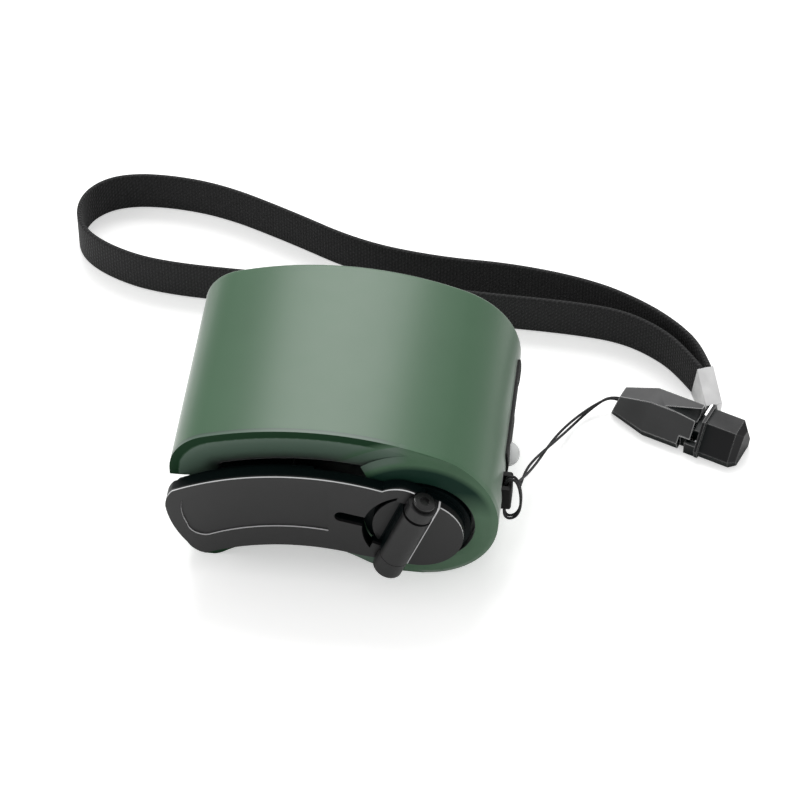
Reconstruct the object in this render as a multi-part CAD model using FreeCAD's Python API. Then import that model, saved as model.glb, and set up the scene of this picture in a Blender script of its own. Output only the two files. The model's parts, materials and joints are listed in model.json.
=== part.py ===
import FreeCAD, Part
import math
import os

from FreeCAD import Vector

os.makedirs("parts", exist_ok=True)

# Hand crank phone charger.  Millimetres, +X to the charging-port end, +Z up,
# the crank face looks towards -Y.  The origin is on the table, under the
# middle of the housing.

# ---- housing: a bean outline of tangent arcs, carried along Y ----
HOUSING_DEPTH = 49.0
PORT_END_RADIUS = 18.6
PORT_END_X = 15.6
PORT_END_Z = 18.4
TOP_RADIUS = 72.0
TOP_PEAK_X = -3.0
SHOULDER_RADIUS = 11.0
TIP_X = -34.2
TIP_SIDE_RADIUS = 100.0
HEEL_RADIUS = 5.0
HEEL_Z = 4.9
ARCH_RADIUS = 26.0
WALL = 1.8
SPIGOT_GAP = 0.1
SPIGOT_WALL = 1.5
FRONT_LIP = 1.0
BACK_COVER_THICKNESS = 1.8
BACK_SPIGOT_DEPTH = 1.6
EDGE_ROUND = 0.7
COVER_POST_RADIUS = 2.1
COVER_POST_LENGTH = 8.2
COVER_POST_FLOOR = 1.0
COVER_POST_SINK = 0.5
COVER_SCREW_RADIUS = 0.9
COVER_SCREW_HEAD = 2.0
COVER_SCREW_LENGTH = 9.0
COVER_SCREW_SEAT = 1.3

FRONT_Y = -HOUSING_DEPTH / 2
BACK_Y = HOUSING_DEPTH / 2
SHELL_FRONT_Y = FRONT_Y + FRONT_LIP
SHELL_BACK_Y = BACK_Y - BACK_COVER_THICKNESS

# ---- front cover: bay behind the arm, collar round the hub ----
RIM_WIDTH = 1.4
BAY_HEEL_RADIUS = 12.0
BAY_HEEL_Z = 15.0
BAY_ROLL_WIDTH = 9.2
BAY_ROLL_DEPTH = 3.0
BAY_DEPTH = 7.0
ROLL_STEPS = 6
COVER_FLOOR = 1.6
COLLAR_HEIGHT = 1.7
COLLAR_RADIUS = 11.8
COLLAR_TOP_RADIUS = 15.2
COLLAR_FOOT_RADIUS = 18.0
COLLAR_BLOCK_RADIUS = 20.3
COLLAR_START = -100.0
COLLAR_END = 132.0
COVER_FACE = 1.8
COLLAR_FACE = 1.6
ROLL_BACKING = 3.5
SHAFT_BOSS_WALL = 1.6
HUB_RECESS_Y = FRONT_Y - 0.1

# ---- crank: hub, folding arm, grip ----
HUB_X = 17.6
HUB_Z = 18.1
ARM_FACE_Y = FRONT_Y - 5.1
ARM_THICKNESS = 3.0
HUB_RADIUS = 9.8
HUB_LEFT_RADIUS = 9.2
HUB_BASE_RADIUS = 11.0
HUB_BASE_THICKNESS = 1.5
HUB_STEP = 1.4
HINGE_ANGLE = 70.0
HINGE_OFFSET = 2.1
HINGE_RISE = 1.0
KNUCKLE_RADIUS = 3.2
KNUCKLE_LOW = -6.9
KNUCKLE_HIGH = 7.0
NECK_RADIUS = 2.5
NECK_HIGH = 7.5
UPPER_EAR_RADIUS = 3.1
UPPER_EAR_LENGTH = 2.8
LOWER_EAR_LENGTH = 4.1
HINGE_GAP = 0.12
HINGE_PIN_RADIUS = 1.0
PIN_HEAD_RADIUS = 2.4
PIN_HEAD_HEIGHT = 0.9
PIN_HEAD_ROUND = 0.3
RUN_FIT = 0.03
WINDOW_RADIUS = 11.2
WEB_WIDTH = 5.0
EAR_CLEARANCE = 0.25
ARM_BACK_Y = ARM_FACE_Y + ARM_THICKNESS
AXIS_Y = ARM_FACE_Y - HINGE_RISE
PAD_GAP = 0.3
PAD_BACK_Y = FRONT_Y - PAD_GAP
PAD_RIGHT_X = -4.0
PANEL_DEPTH = 0.45
KEYHOLE_WIDTH = 2.8
KEYHOLE_LEFT = Vector(2.1, 0, 21.3)

# ---- folding grip, stored along the back of the arm ----
GRIP_PIVOT_X = -29.4
GRIP_PIVOT_Z = 15.4
GRIP_ANGLE = 14.4
GRIP_RADIUS = 1.95
GRIP_LENGTH = 14.0
GRIP_BLOCK_LENGTH = 3.2
GRIP_BLOCK_WIDTH = 4.2
GRIP_AXLE_RADIUS = 0.9
GRIP_HEAD_RADIUS = 1.6
GRIP_HEAD_LENGTH = 0.8
GRIP_END_GAP = 0.1
GRIP_GAP = 0.15
PIVOT_PIN_RADIUS = 0.6
PIVOT_PIN_LENGTH = 8.0
GRIP_Y = PAD_BACK_Y - GRIP_RADIUS
GRIP_BAY_LEFT_X = -36.0
GRIP_BAY_RIGHT_X = -10.3
GRIP_BAY_LOW_Z = 9.8
GRIP_BAY_HIGH_Z = 24.2
GRIP_BAY_WALL = 1.2

# ---- crank shaft and its bushes ----
SHAFT_RADIUS = 2.0
BUSH_FIT = 0.05
BUSH_RADIUS = 3.4
BUSH_FLANGE_RADIUS = 4.6
BUSH_FLANGE = 0.9
SHAFT_TAIL = 2.6

# ---- gear box ----
GEAR_MODULE = 0.5
PRESSURE_ANGLE = 20.0
GEAR_BACKLASH = 0.10
CENTRE_EXTRA = 0.06
CRANK_TEETH = 48
PINION_TEETH = 12
IDLER_TEETH = 36
ROTOR_TEETH = 12
GEAR_FACE = 2.6
GEAR_LAYER_GAP = 0.8
IDLER_A_ANGLE = 160.0
IDLER_B_ANGLE = 200.0
ROTOR_ANGLE = 162.0
AXLE_RADIUS = 0.75
GEAR_HUB_RADIUS = 3.6
PLATE_THICKNESS = 1.2
PLATE_LINK_RADIUS = 3.2
PILLAR_RADIUS = 2.0
PILLAR_BORE = 0.8
POST_WALL = 0.6
FRONT_PLATE_Y = FRONT_Y + 19.1
GEAR_START_GAP = 0.8
PLATE_GAP_END = 0.8
PLATE_SCREW_RADIUS = 0.75
PLATE_SCREW_HEAD = 1.5

# ---- generator ----
CAN_RADIUS = 8.8
CAN_LENGTH = HOUSING_DEPTH - 38.6
CAN_WALL = 0.8
MAGNET_WALL = 1.8
ROTOR_RADIUS = 5.2
ROTOR_LENGTH = CAN_LENGTH - 3.8
ROTOR_SLOTS = 3
ROTOR_SHAFT_RADIUS = 0.75
GENERATOR_BOSS_RADIUS = 2.6
GENERATOR_BOSS = 1.0

# ---- electronics at the port end ----
PORT_PLATE_RISE = 0.5
PORT_PLATE_X = PORT_END_X + PORT_END_RADIUS + PORT_PLATE_RISE
PORT_PLATE_REACH = 4.0
PORT_PLATE_LOW_Y = FRONT_Y + 15.1
PORT_PLATE_HIGH_Y = BACK_Y - 4.9
PORT_PLATE_LOW_Z = 12.2
PORT_PLATE_HIGH_Z = 21.8
PORT_PLUG_INSET = 1.3
PORT_PLATE_ROUND = 1.2
PORT_PLUG_X = 32.3
PORT_SLOT_WIDTH = 12.5
PORT_SLOT_HEIGHT = 5.12
PORT_SLOT_Y = BACK_Y - 13.4
PORT_SLOT_Z = 17.0
SOCKET_DEPTH = 11.8
SOCKET_SETBACK = 0.4
SOCKET_WALL = 0.35
TONGUE_THICKNESS = 1.84
TONGUE_SETBACK = 1.6
BOARD_THICKNESS = 1.2
BOARD_GEAR_GAP = 2.8
BOARD_LEFT_X = 22.8
BOARD_RIGHT_X = 31.2
BOARD_LOW_Y = FRONT_PLATE_Y + PLATE_THICKNESS + GEAR_START_GAP + GEAR_FACE + BOARD_GEAR_GAP
BOARD_HIGH_Y = BACK_Y - 3.9
CAPACITOR_RADIUS = 2.6
CAPACITOR_LENGTH = 5.0
DIODE_RADIUS = 0.7
DIODE_LENGTH = 3.6
DIODE_PITCH = 1.8
CHIP_HEIGHT = 1.3
LED_Y = FRONT_Y + 20.1
LED_Z = 17.2
LENS_RADIUS = 2.6
LENS_RISE = 2.0
LAMP_RADIUS = 1.5
LAMP_LENGTH = 1.6
LED_BOARD_THICKNESS = 0.8
LED_BOARD_HEIGHT = 6.0

# ---- lanyard eye ----
EYE_Y = FRONT_Y + 9.1
EYE_Z = 18.0
EYE_WALL_X = 34.0
EYE_WIDTH = 5.4
EYE_HEIGHT = 6.0
EYE_OUT = 2.1
EYE_IN = 4.0
EYE_BAR = 0.8
EYE_HOLE = 1.3
HITCH_RADIUS = 0.5
HITCH_ROUTE = [
    (34.65, 21.9),
    (36.9, 22.1),
    (38.0, 17.6),
    (38.0, 12.8),
    (37.0, 10.3),
    (35.4, 9.6),
    (34.5, 11.0),
    (34.65, 14.6),
]

# ---- buckle, lying on the table ----
BUCKLE_X = 54.5
BUCKLE_Y = 24.0
BUCKLE_ANGLE = -21.0
BUCKLE_HEIGHT = 7.6
BUCKLE_LOW = -1.8
BUCKLE_HIGH = 8.9
BUCKLE_NEAR_INSET = 3.9
BUCKLE_FAR_INSET = 2.0
BUCKLE_FOOT_INSET = 0.7
BUCKLE_WAIST_SHARE = 0.28
SOCKET_HALF_LENGTH = 18.9
BUCKLE_GAP = 1.7
FLANGE_THICKNESS = 0.8
BLOCK_LENGTH = 8.4
PRONG_LENGTH = 8.0
PRONG_WIDTH = 5.0
PRONG_HEIGHT = 3.0
PRONG_CLEARANCE = 0.2
NOSE_START = -0.8
NOSE_END = 8.0
NOSE_LOW = 1.0
NOSE_HIGH = 6.2
NOSE_TOP = 6.4
NOSE_NEAR_INSET = 0.6
NOSE_FAR_INSET = 1.4
NOSE_LEAN = 1.8
THUMB_SLOT_START = 10.8
THUMB_SLOT_NEAR = 2.5
THUMB_SLOT_FAR = 3.8
THUMB_SLOT_RADIUS = 2.1
STRING_HOLE_CLEARANCE = 0.3
STRING_HOLE_SHARE = 0.45
NOTCH_LENGTH = 2.5
NOTCH_DEPTH = 1.9
NOTCH_HEIGHT = 3.6
LUG_REACH = 0.9
LUG_WIDTH = 1.5
BLOCK_BEVEL = 1.4
FLANGE_RISE = 0.6

# ---- strap and crimp ----
STRAP_WIDTH = 10.0
STRAP_THICKNESS = 1.1
STRAP_LIFT = 0.1
CRIMP_TAIL_X = 74.0
CRIMP_TAIL_Y = 32.55
CRIMP_THICKNESS = 3.7
CRIMP_COVER = 2.2
CRIMP_TAB = 1.2
CRIMP_TAB_LOW = 2.2
CRIMP_TAB_HIGH = 5.0
STRAP_ROUTE = [
    (73.3, 32.3),
    (69.5, 37.6),
    (64.0, 43.2),
    (55.0, 47.9),
    (43.0, 49.2),
    (24.0, 49.6),
    (-4.0, 50.6),
    (-30.0, 50.3),
    (-50.0, 51.0),
    (-61.0, 54.2),
    (-69.0, 59.5),
    (-71.5, 66.5),
    (-69.8, 73.2),
    (-64.0, 77.9),
    (-54.0, 79.3),
    (-40.0, 77.6),
    (-24.0, 71.2),
    (-6.0, 62.8),
    (12.0, 59.8),
    (30.0, 59.6),
    (48.0, 56.4),
    (60.0, 50.8),
    (67.9, 44.8),
    (72.7, 38.9),
    (74.9, 32.9),
]

# ---- string between the eye and the buckle ----
STRING_RADIUS = 0.7
STRING_ROUTE = [
    (37.4, EYE_Y + 2.2, 18.0),
    (37.8, EYE_Y + 7.4, 13.8),
    (38.7, -0.6, 9.4),
    (41.0, 8.0, 5.2),
    (44.0, 16.4, 2.3),
    (47.6, 22.8, 1.3),
    (51.0, 26.2, 2.2),
    (54.2, 27.9, 3.4),
    (56.9, 26.9, 3.4),
]


# ---------------------------------------------------------------- helpers


def xz(x, z, y=0.0):
    return Vector(x, y, z)


def rod(x, z, y_from, y_to, radius):
    """A cylinder along Y."""
    return Part.makeCylinder(radius, y_to - y_from, Vector(x, y_from, z), Vector(0, 1, 0))


def block(x_from, x_to, y_from, y_to, z_from, z_to):
    corner = Vector(x_from, y_from, z_from)
    return Part.makeBox(x_to - x_from, y_to - y_from, z_to - z_from, corner)


def carry(wire, y_from, y_to):
    """The solid that a closed wire in the plane y = 0 sweeps along Y."""
    face = Part.Face(wire)
    face.translate(Vector(0, y_from, 0))
    return face.extrude(Vector(0, y_to - y_from, 0))


def fuse(first, *others):
    return first.fuse(list(others)).removeSplitter()


def unit(vector):
    return Vector(vector).normalize()


def arc_about(centre, start, end, radius, side):
    """The arc of that radius from start to end that passes on the given side."""
    middle = centre + unit(side) * radius
    return Part.Arc(start, middle, end).toShape()


# ---------------------------------------------------------------- housing


def outline_centres(heel_radius=HEEL_RADIUS, heel_z=HEEL_Z):
    """Centres of the outline's six arcs: port end, top, shoulder, side, heel and arch."""
    port = xz(PORT_END_X, PORT_END_Z)
    top_reach = TOP_RADIUS - PORT_END_RADIUS
    top_cos = (PORT_END_X - TOP_PEAK_X) / top_reach
    top = xz(TOP_PEAK_X, PORT_END_Z - top_reach * math.sqrt(1 - top_cos**2))
    shoulder_reach = TOP_RADIUS - SHOULDER_RADIUS
    shoulder_x = TIP_X + SHOULDER_RADIUS
    shoulder_cos = (shoulder_x - TOP_PEAK_X) / shoulder_reach
    shoulder = xz(shoulder_x, top.z + shoulder_reach * math.sqrt(1 - shoulder_cos**2))
    side = xz(TIP_X + TIP_SIDE_RADIUS, shoulder.z)
    side_reach = TIP_SIDE_RADIUS - heel_radius
    heel_drop = heel_z - side.z
    heel = xz(side.x - math.sqrt(side_reach**2 - heel_drop**2), heel_z)
    span = (port - heel).Length
    heel_reach = heel_radius + ARCH_RADIUS
    port_reach = PORT_END_RADIUS + ARCH_RADIUS
    along = (heel_reach**2 - port_reach**2 + span**2) / (2 * span)
    below = math.sqrt(heel_reach**2 - along**2)
    forward = unit(port - heel)
    arch = heel + forward * along + xz(forward.z, -forward.x) * below
    return port, top, shoulder, side, heel, arch


def bean_wire(inset, heel_radius=HEEL_RADIUS, heel_z=HEEL_Z):
    """The housing's outline, moved inwards: six tangent arcs about fixed centres."""
    port, top, shoulder, side, heel, arch = outline_centres(heel_radius, heel_z)
    port_r = PORT_END_RADIUS - inset
    top_r = TOP_RADIUS - inset
    shoulder_r = SHOULDER_RADIUS - inset
    side_r = TIP_SIDE_RADIUS - inset
    heel_r = heel_radius - inset
    arch_r = ARCH_RADIUS + inset

    port_top = port + unit(port - top) * port_r
    top_tip = shoulder + unit(shoulder - top) * shoulder_r
    tip_side = shoulder + unit(shoulder - side) * shoulder_r
    side_heel = heel + unit(heel - side) * heel_r
    heel_arch = heel + unit(arch - heel) * heel_r
    arch_port = port + unit(arch - port) * port_r
    edges = [
        arc_about(port, arch_port, port_top, port_r, xz(1, 0)),
        arc_about(top, port_top, top_tip, top_r, xz(0, 1)),
        arc_about(shoulder, top_tip, tip_side, shoulder_r, xz(-1, 1)),
        arc_about(side, tip_side, side_heel, side_r, unit(tip_side + side_heel - side * 2)),
        arc_about(heel, side_heel, heel_arch, heel_r, unit(side_heel + heel_arch - heel * 2)),
        arc_about(arch, heel_arch, arch_port, arch_r, xz(0, 1)),
    ]
    return Part.Wire(edges)


def bean(inset, y_from, y_to):
    return carry(bean_wire(inset), y_from, y_to)


def bay_wire(inset):
    """The bay's own outline: as the housing's, with a larger and higher heel."""
    return bean_wire(inset, BAY_HEEL_RADIUS, BAY_HEEL_Z)


def table_cut():
    """Everything below the table, so the round lobes end in flat feet."""
    return block(-60, 60, -60, 60, -20, 0)


def grip_bay(margin):
    """The room that the grip swings into, open at the housing's tip."""
    depth = FRONT_Y + bay_reach()
    return block(
        GRIP_BAY_LEFT_X,
        GRIP_BAY_RIGHT_X + margin,
        FRONT_Y - 1,
        depth + margin,
        GRIP_BAY_LOW_Z - margin,
        GRIP_BAY_HIGH_Z + margin,
    )


def bay_reach():
    """How far behind the front face the grip's far end swings."""
    swing = GRIP_BLOCK_LENGTH + GRIP_LENGTH + GRIP_HEAD_LENGTH + GRIP_END_GAP * 2
    return GRIP_Y - FRONT_Y + swing + 0.9


def gear_positions():
    """Centres of the crank, the two idlers and the rotor, as x and z."""
    crank = (HUB_X, HUB_Z)
    first = GEAR_MODULE * (CRANK_TEETH + PINION_TEETH) / 2 + CENTRE_EXTRA
    later = GEAR_MODULE * (IDLER_TEETH + PINION_TEETH) / 2 + CENTRE_EXTRA
    last = GEAR_MODULE * (IDLER_TEETH + ROTOR_TEETH) / 2 + CENTRE_EXTRA
    idler_a = step_from(crank, first, IDLER_A_ANGLE)
    idler_b = step_from(idler_a, later, IDLER_B_ANGLE)
    rotor = step_from(idler_b, last, ROTOR_ANGLE)
    return crank, idler_a, idler_b, rotor


def step_from(start, distance, angle):
    turn = math.radians(angle)
    return (start[0] + distance * math.cos(turn), start[1] + distance * math.sin(turn))


def pillar_positions():
    """Three pillars of the gear box, clear of every wheel."""
    return [(1.6, 11.2), (-6.4, 33.6), (10.8, 33.4)]


def housing_shell():
    shell = bean(0, SHELL_FRONT_Y, SHELL_BACK_Y)
    shell = shell.cut(bean(WALL, SHELL_FRONT_Y - 1, SHELL_BACK_Y + 1))
    post_end = SHELL_BACK_Y - BACK_SPIGOT_DEPTH - 0.1
    post_start = post_end - COVER_POST_LENGTH
    for x, z in cover_screw_positions():
        post = rod(x, z, post_start, post_end, COVER_POST_RADIUS)
        post = post.common(bean(WALL * 0.5, FRONT_Y, BACK_Y))
        bore = rod(x, z, post_start + COVER_POST_FLOOR, SHELL_BACK_Y, COVER_SCREW_RADIUS)
        shell = fuse(shell, post.cut(bore))
    shell = shell.cut(table_cut())
    shell = shell.cut(grip_bay(0))
    shell = shell.cut(port_opening(0))
    return shell.cut(eye_opening())


def cover_screw_positions():
    """Four screws, each just inside one of the outline's round corners."""
    port, top, shoulder, side, heel, arch = outline_centres()
    corners = [
        (port, PORT_END_RADIUS, 44.5),
        (port, PORT_END_RADIUS, -38.5),
        (shoulder, SHOULDER_RADIUS, 153.0),
        (heel, HEEL_RADIUS, 215.0),
    ]
    places = []
    for centre, radius, angle in corners:
        reach = radius - WALL - COVER_POST_RADIUS + COVER_POST_SINK
        places.append(step_from((centre.x, centre.z), reach, angle))
    return places


def port_opening(gap):
    return block(
        PORT_PLATE_X - 6.5,
        PORT_PLATE_X + 2,
        PORT_PLATE_LOW_Y + PORT_PLUG_INSET - gap,
        PORT_PLATE_HIGH_Y - PORT_PLUG_INSET + gap,
        PORT_PLATE_LOW_Z + PORT_PLUG_INSET - gap,
        PORT_PLATE_HIGH_Z - PORT_PLUG_INSET + gap,
    )


def eye_opening():
    low_y = EYE_Y - EYE_WIDTH / 2
    low_z = EYE_Z - EYE_HEIGHT / 2
    corner = Vector(EYE_WALL_X - 6, low_y, low_z)
    return Part.makeBox(12, EYE_WIDTH, EYE_HEIGHT, corner)


def front_cover():
    floor_y = FRONT_Y + BAY_DEPTH
    spigot_inset = WALL + SPIGOT_GAP
    lip = bean(0, FRONT_Y, SHELL_FRONT_Y)
    body = bean(spigot_inset, SHELL_FRONT_Y - 0.2, floor_y + COVER_FLOOR)
    keep = collar_block(COLLAR_BLOCK_RADIUS, FRONT_Y - 1, floor_y + 1)
    core = rod(HUB_X, HUB_Z, HUB_RECESS_Y, floor_y + 1, COLLAR_RADIUS)
    void = bay(floor_y).cut(keep).cut(core)
    cover = lip.fuse(body).cut(void)
    cover = fuse(cover, collar_ring().common(bean(0, FRONT_Y - 5, floor_y)))
    cover = cover.cut(rod(HUB_X, HUB_Z, FRONT_Y - 5, HUB_RECESS_Y, COLLAR_RADIUS))
    cover = cover.cut(cover_hollow(floor_y + COVER_FLOOR + 1))
    cover = fuse(cover, bay_walls(spigot_inset), *cover_posts(void))
    cover = cover.cut(grip_bay(0))
    cover = cover.cut(bush_hole())
    cover = cover.cut(table_cut())
    return cover.cut(eye_opening())


def collar_block(radius, y_from, y_to):
    """A sector of a disc about the hub: what stays solid round the collar."""
    reach = radius * 3
    start = math.radians(COLLAR_START)
    end = math.radians(COLLAR_END)
    middle = (start + end) / 2
    hub = xz(HUB_X, HUB_Z)
    corners = [hub]
    for turn in (start, (start + middle) / 2, middle, (middle + end) / 2, end):
        corners.append(hub + xz(math.cos(turn), math.sin(turn)) * reach)
    corners.append(hub)
    sector = carry(Part.makePolygon(corners), y_from, y_to)
    return sector.common(rod(HUB_X, HUB_Z, y_from, y_to, radius))


def collar_ring():
    """The raised ring round the hub: a disc whose outer edge slopes to the front face."""
    foot = Vector(HUB_X, FRONT_Y, HUB_Z)
    height = COLLAR_HEIGHT
    cone = Part.makeCone(COLLAR_FOOT_RADIUS, COLLAR_TOP_RADIUS, height, foot, Vector(0, -1, 0))
    return cone.common(collar_block(COLLAR_FOOT_RADIUS + 1, FRONT_Y - height - 1, FRONT_Y + 1))


def bay(floor_y):
    """The hollow behind the arm: its wide mouth curves in from the front face."""
    sections = []
    for step in range(ROLL_STEPS + 1):
        turn = math.pi / 2 * step / ROLL_STEPS
        wire = bay_wire(RIM_WIDTH + BAY_ROLL_WIDTH * math.sin(turn))
        wire.translate(Vector(0, FRONT_Y + BAY_ROLL_DEPTH * (1 - math.cos(turn)), 0))
        sections.append(wire)
    mouth = Part.makeLoft(sections, True, False)
    inner = bay_wire(RIM_WIDTH + BAY_ROLL_WIDTH)
    deep = carry(inner, FRONT_Y + BAY_ROLL_DEPTH - 0.01, floor_y)
    return mouth.fuse(deep)


def cover_hollow(back_y):
    """The room behind the cover's face: a channel round the bay and the inside of the collar."""
    rim = WALL + SPIGOT_GAP + SPIGOT_WALL
    bay_wall = RIM_WIDTH + BAY_ROLL_WIDTH - COVER_FLOOR
    channel = bean(rim, FRONT_Y + ROLL_BACKING, back_y)
    channel = channel.cut(carry(bay_wire(bay_wall), FRONT_Y, back_y + 1))
    start = HUB_RECESS_Y + COLLAR_FACE
    inside = collar_block(COLLAR_BLOCK_RADIUS - COVER_FLOOR, start, back_y)
    inside = inside.fuse(rod(HUB_X, HUB_Z, start, back_y, COLLAR_RADIUS - COVER_FLOOR))
    inside = inside.common(bean(rim, FRONT_Y + COVER_FACE, back_y))
    boss = rod(HUB_X, HUB_Z, FRONT_Y, back_y - 1, BUSH_RADIUS + SHAFT_BOSS_WALL)
    return channel.fuse(inside).cut(boss)


def bay_walls(spigot_inset):
    """A box round the grip's bay, kept inside the shell."""
    walls = grip_bay(GRIP_BAY_WALL)
    return walls.common(bean(spigot_inset, FRONT_Y + 2, BACK_Y))


def cover_posts(void):
    """Posts from the back of the cover's face to the gear box, clear of the bay's hollow."""
    start = FRONT_Y + COVER_FACE - 0.1
    posts = []
    for x, z in pillar_positions():
        post = rod(x, z, start, FRONT_PLATE_Y, PILLAR_RADIUS + POST_WALL).cut(void)
        posts.append(post.cut(rod(x, z, FRONT_PLATE_Y - 6, FRONT_PLATE_Y, PILLAR_BORE)))
    return posts


def bush_hole():
    return rod(HUB_X, HUB_Z, FRONT_Y - 1, FRONT_Y + 20, BUSH_RADIUS)


def back_cover():
    cover = bean(0, SHELL_BACK_Y, BACK_Y)
    edges = [e for e in cover.Edges if e.BoundBox.YMin > BACK_Y - 1e-6]
    cover = cover.makeFillet(EDGE_ROUND, edges)
    inset = WALL + SPIGOT_GAP
    spigot = bean(inset, SHELL_BACK_Y - BACK_SPIGOT_DEPTH, SHELL_BACK_Y + 0.2)
    spigot = spigot.cut(bean(inset + SPIGOT_WALL, SHELL_BACK_Y - 3, SHELL_BACK_Y))
    cover = fuse(cover, spigot)
    for x, z in cover_screw_positions():
        pad = rod(x, z, SHELL_BACK_Y - BACK_SPIGOT_DEPTH, SHELL_BACK_Y + 0.2, COVER_POST_RADIUS)
        cover = fuse(cover, pad.common(bean(inset, FRONT_Y, BACK_Y)))
    for x, z in cover_screw_positions():
        cover = cover.cut(rod(x, z, BACK_Y - 10, BACK_Y + 1, COVER_SCREW_RADIUS + 0.3))
        seat = BACK_Y - COVER_SCREW_SEAT
        cover = cover.cut(rod(x, z, seat, BACK_Y + 1, COVER_SCREW_HEAD + 0.2))
    return cover.cut(table_cut())


def screw(x, z, tip_y, seat_y, radius, head_radius, head):
    """A pan-head screw along Y, head towards +Y, with a cross slot."""
    shank = rod(x, z, tip_y, seat_y + 0.1, radius)
    body = fuse(shank, rod(x, z, seat_y, seat_y + head, head_radius))
    arm = head_radius * 0.7
    slot_y = seat_y + head * 0.5
    top_y = seat_y + head + 1
    body = body.cut(block(x - arm, x + arm, slot_y, top_y, z - 0.2, z + 0.2))
    return body.cut(block(x - 0.2, x + 0.2, slot_y, top_y, z - arm, z + arm))


def cover_screws():
    seat = BACK_Y - COVER_SCREW_SEAT
    tip = seat - COVER_SCREW_LENGTH
    radius = COVER_SCREW_RADIUS
    head = COVER_SCREW_HEAD
    return [screw(x, z, tip, seat, radius, head, 1.0) for x, z in cover_screw_positions()]


# ---------------------------------------------------------------- hinge frame


def hinge_along():
    turn = math.radians(HINGE_ANGLE)
    return xz(math.cos(turn), math.sin(turn))


def hinge_left():
    """Across the hinge, away from the port end."""
    turn = math.radians(HINGE_ANGLE)
    return xz(-math.sin(turn), math.cos(turn))


def hinge_point(along, left=0.0, y=AXIS_Y):
    base = xz(HUB_X, HUB_Z, 0) + hinge_left() * (HINGE_OFFSET + left) + hinge_along() * along
    return Vector(base.x, y, base.z)


def hinge_rod(along_from, along_to, radius):
    return Part.makeCylinder(radius, along_to - along_from, hinge_point(along_from), hinge_along())


def hinge_box(along_from, along_to, left_from, left_to, y_from, y_to):
    corners = [
        hinge_point(along_from, left_from, y_from),
        hinge_point(along_to, left_from, y_from),
        hinge_point(along_to, left_to, y_from),
        hinge_point(along_from, left_to, y_from),
        hinge_point(along_from, left_from, y_from),
    ]
    return Part.Face(Part.makePolygon(corners)).extrude(Vector(0, y_to - y_from, 0))


def upper_ear_low():
    return NECK_HIGH + HINGE_GAP


def upper_ear_high():
    return upper_ear_low() + UPPER_EAR_LENGTH


def lower_ear_high():
    return KNUCKLE_LOW - HINGE_GAP


def lower_ear_low():
    return lower_ear_high() - LOWER_EAR_LENGTH


# ---------------------------------------------------------------- crank


def crank_hub():
    base_front = ARM_BACK_Y + 0.2
    base = rod(HUB_X, HUB_Z, base_front, base_front + HUB_BASE_THICKNESS, HUB_BASE_RADIUS)
    disc = rod(HUB_X, HUB_Z, ARM_FACE_Y, base_front + 0.1, HUB_RADIUS)
    left = hinge_box(-20, 20, 0, 20, ARM_FACE_Y - 1, ARM_FACE_Y + HUB_STEP)
    disc = disc.cut(left)
    far = 20
    outer = rod(HUB_X, HUB_Z, ARM_FACE_Y - 1, base_front, HUB_RADIUS + 1)
    outer = outer.cut(rod(HUB_X, HUB_Z, ARM_FACE_Y - 2, base_front + 1, HUB_LEFT_RADIUS))
    disc = disc.cut(outer.common(hinge_box(-far, far, 0, far, ARM_FACE_Y - 1, base_front)))
    upper = hinge_box(KNUCKLE_HIGH, far, -EAR_CLEARANCE, far, ARM_FACE_Y - 1, base_front)
    lower = hinge_box(-far, KNUCKLE_LOW - 0.05, -EAR_CLEARANCE, far, ARM_FACE_Y - 1, base_front)
    disc = disc.cut(upper).cut(lower)
    disc = disc.cut(hinge_rod(NECK_HIGH, far, KNUCKLE_RADIUS + EAR_CLEARANCE))
    disc = disc.cut(hinge_rod(-far, KNUCKLE_LOW, KNUCKLE_RADIUS + EAR_CLEARANCE))
    knuckle = hinge_rod(KNUCKLE_LOW, KNUCKLE_HIGH, KNUCKLE_RADIUS)
    foot = hinge_box(KNUCKLE_LOW, KNUCKLE_HIGH, -KNUCKLE_RADIUS, KNUCKLE_RADIUS, AXIS_Y, base_front)
    foot = foot.common(rod(HUB_X, HUB_Z, AXIS_Y, base_front, HUB_RADIUS))
    neck = hinge_rod(KNUCKLE_HIGH - 0.1, NECK_HIGH, NECK_RADIUS)
    hub = fuse(base, disc, knuckle, foot, neck)
    hub = hub.cut(hinge_rod(-20, 20, HINGE_PIN_RADIUS))
    return hub.cut(rod(HUB_X, HUB_Z, base_front - 0.5, 0, SHAFT_RADIUS))


def hinge_pin():
    low = lower_ear_low() + 1.0
    high = upper_ear_high() + 0.1
    shank = hinge_rod(low, high, HINGE_PIN_RADIUS)
    head = hinge_rod(high, high + PIN_HEAD_HEIGHT, PIN_HEAD_RADIUS)
    pin = fuse(shank, head)
    rim = [e for e in pin.Edges if is_round_at(e, hinge_point(high + PIN_HEAD_HEIGHT))]
    pin = pin.makeFillet(PIN_HEAD_ROUND, rim)
    top = high + PIN_HEAD_HEIGHT
    return pin.cut(hinge_rod(top - 0.5, top + 1, PIN_HEAD_RADIUS * 0.45))


def is_round_at(edge, centre):
    """Whether the edge is a circle about that point."""
    if not isinstance(edge.Curve, Part.Circle):
        return False
    return (edge.Curve.Center - centre).Length < 0.01


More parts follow.
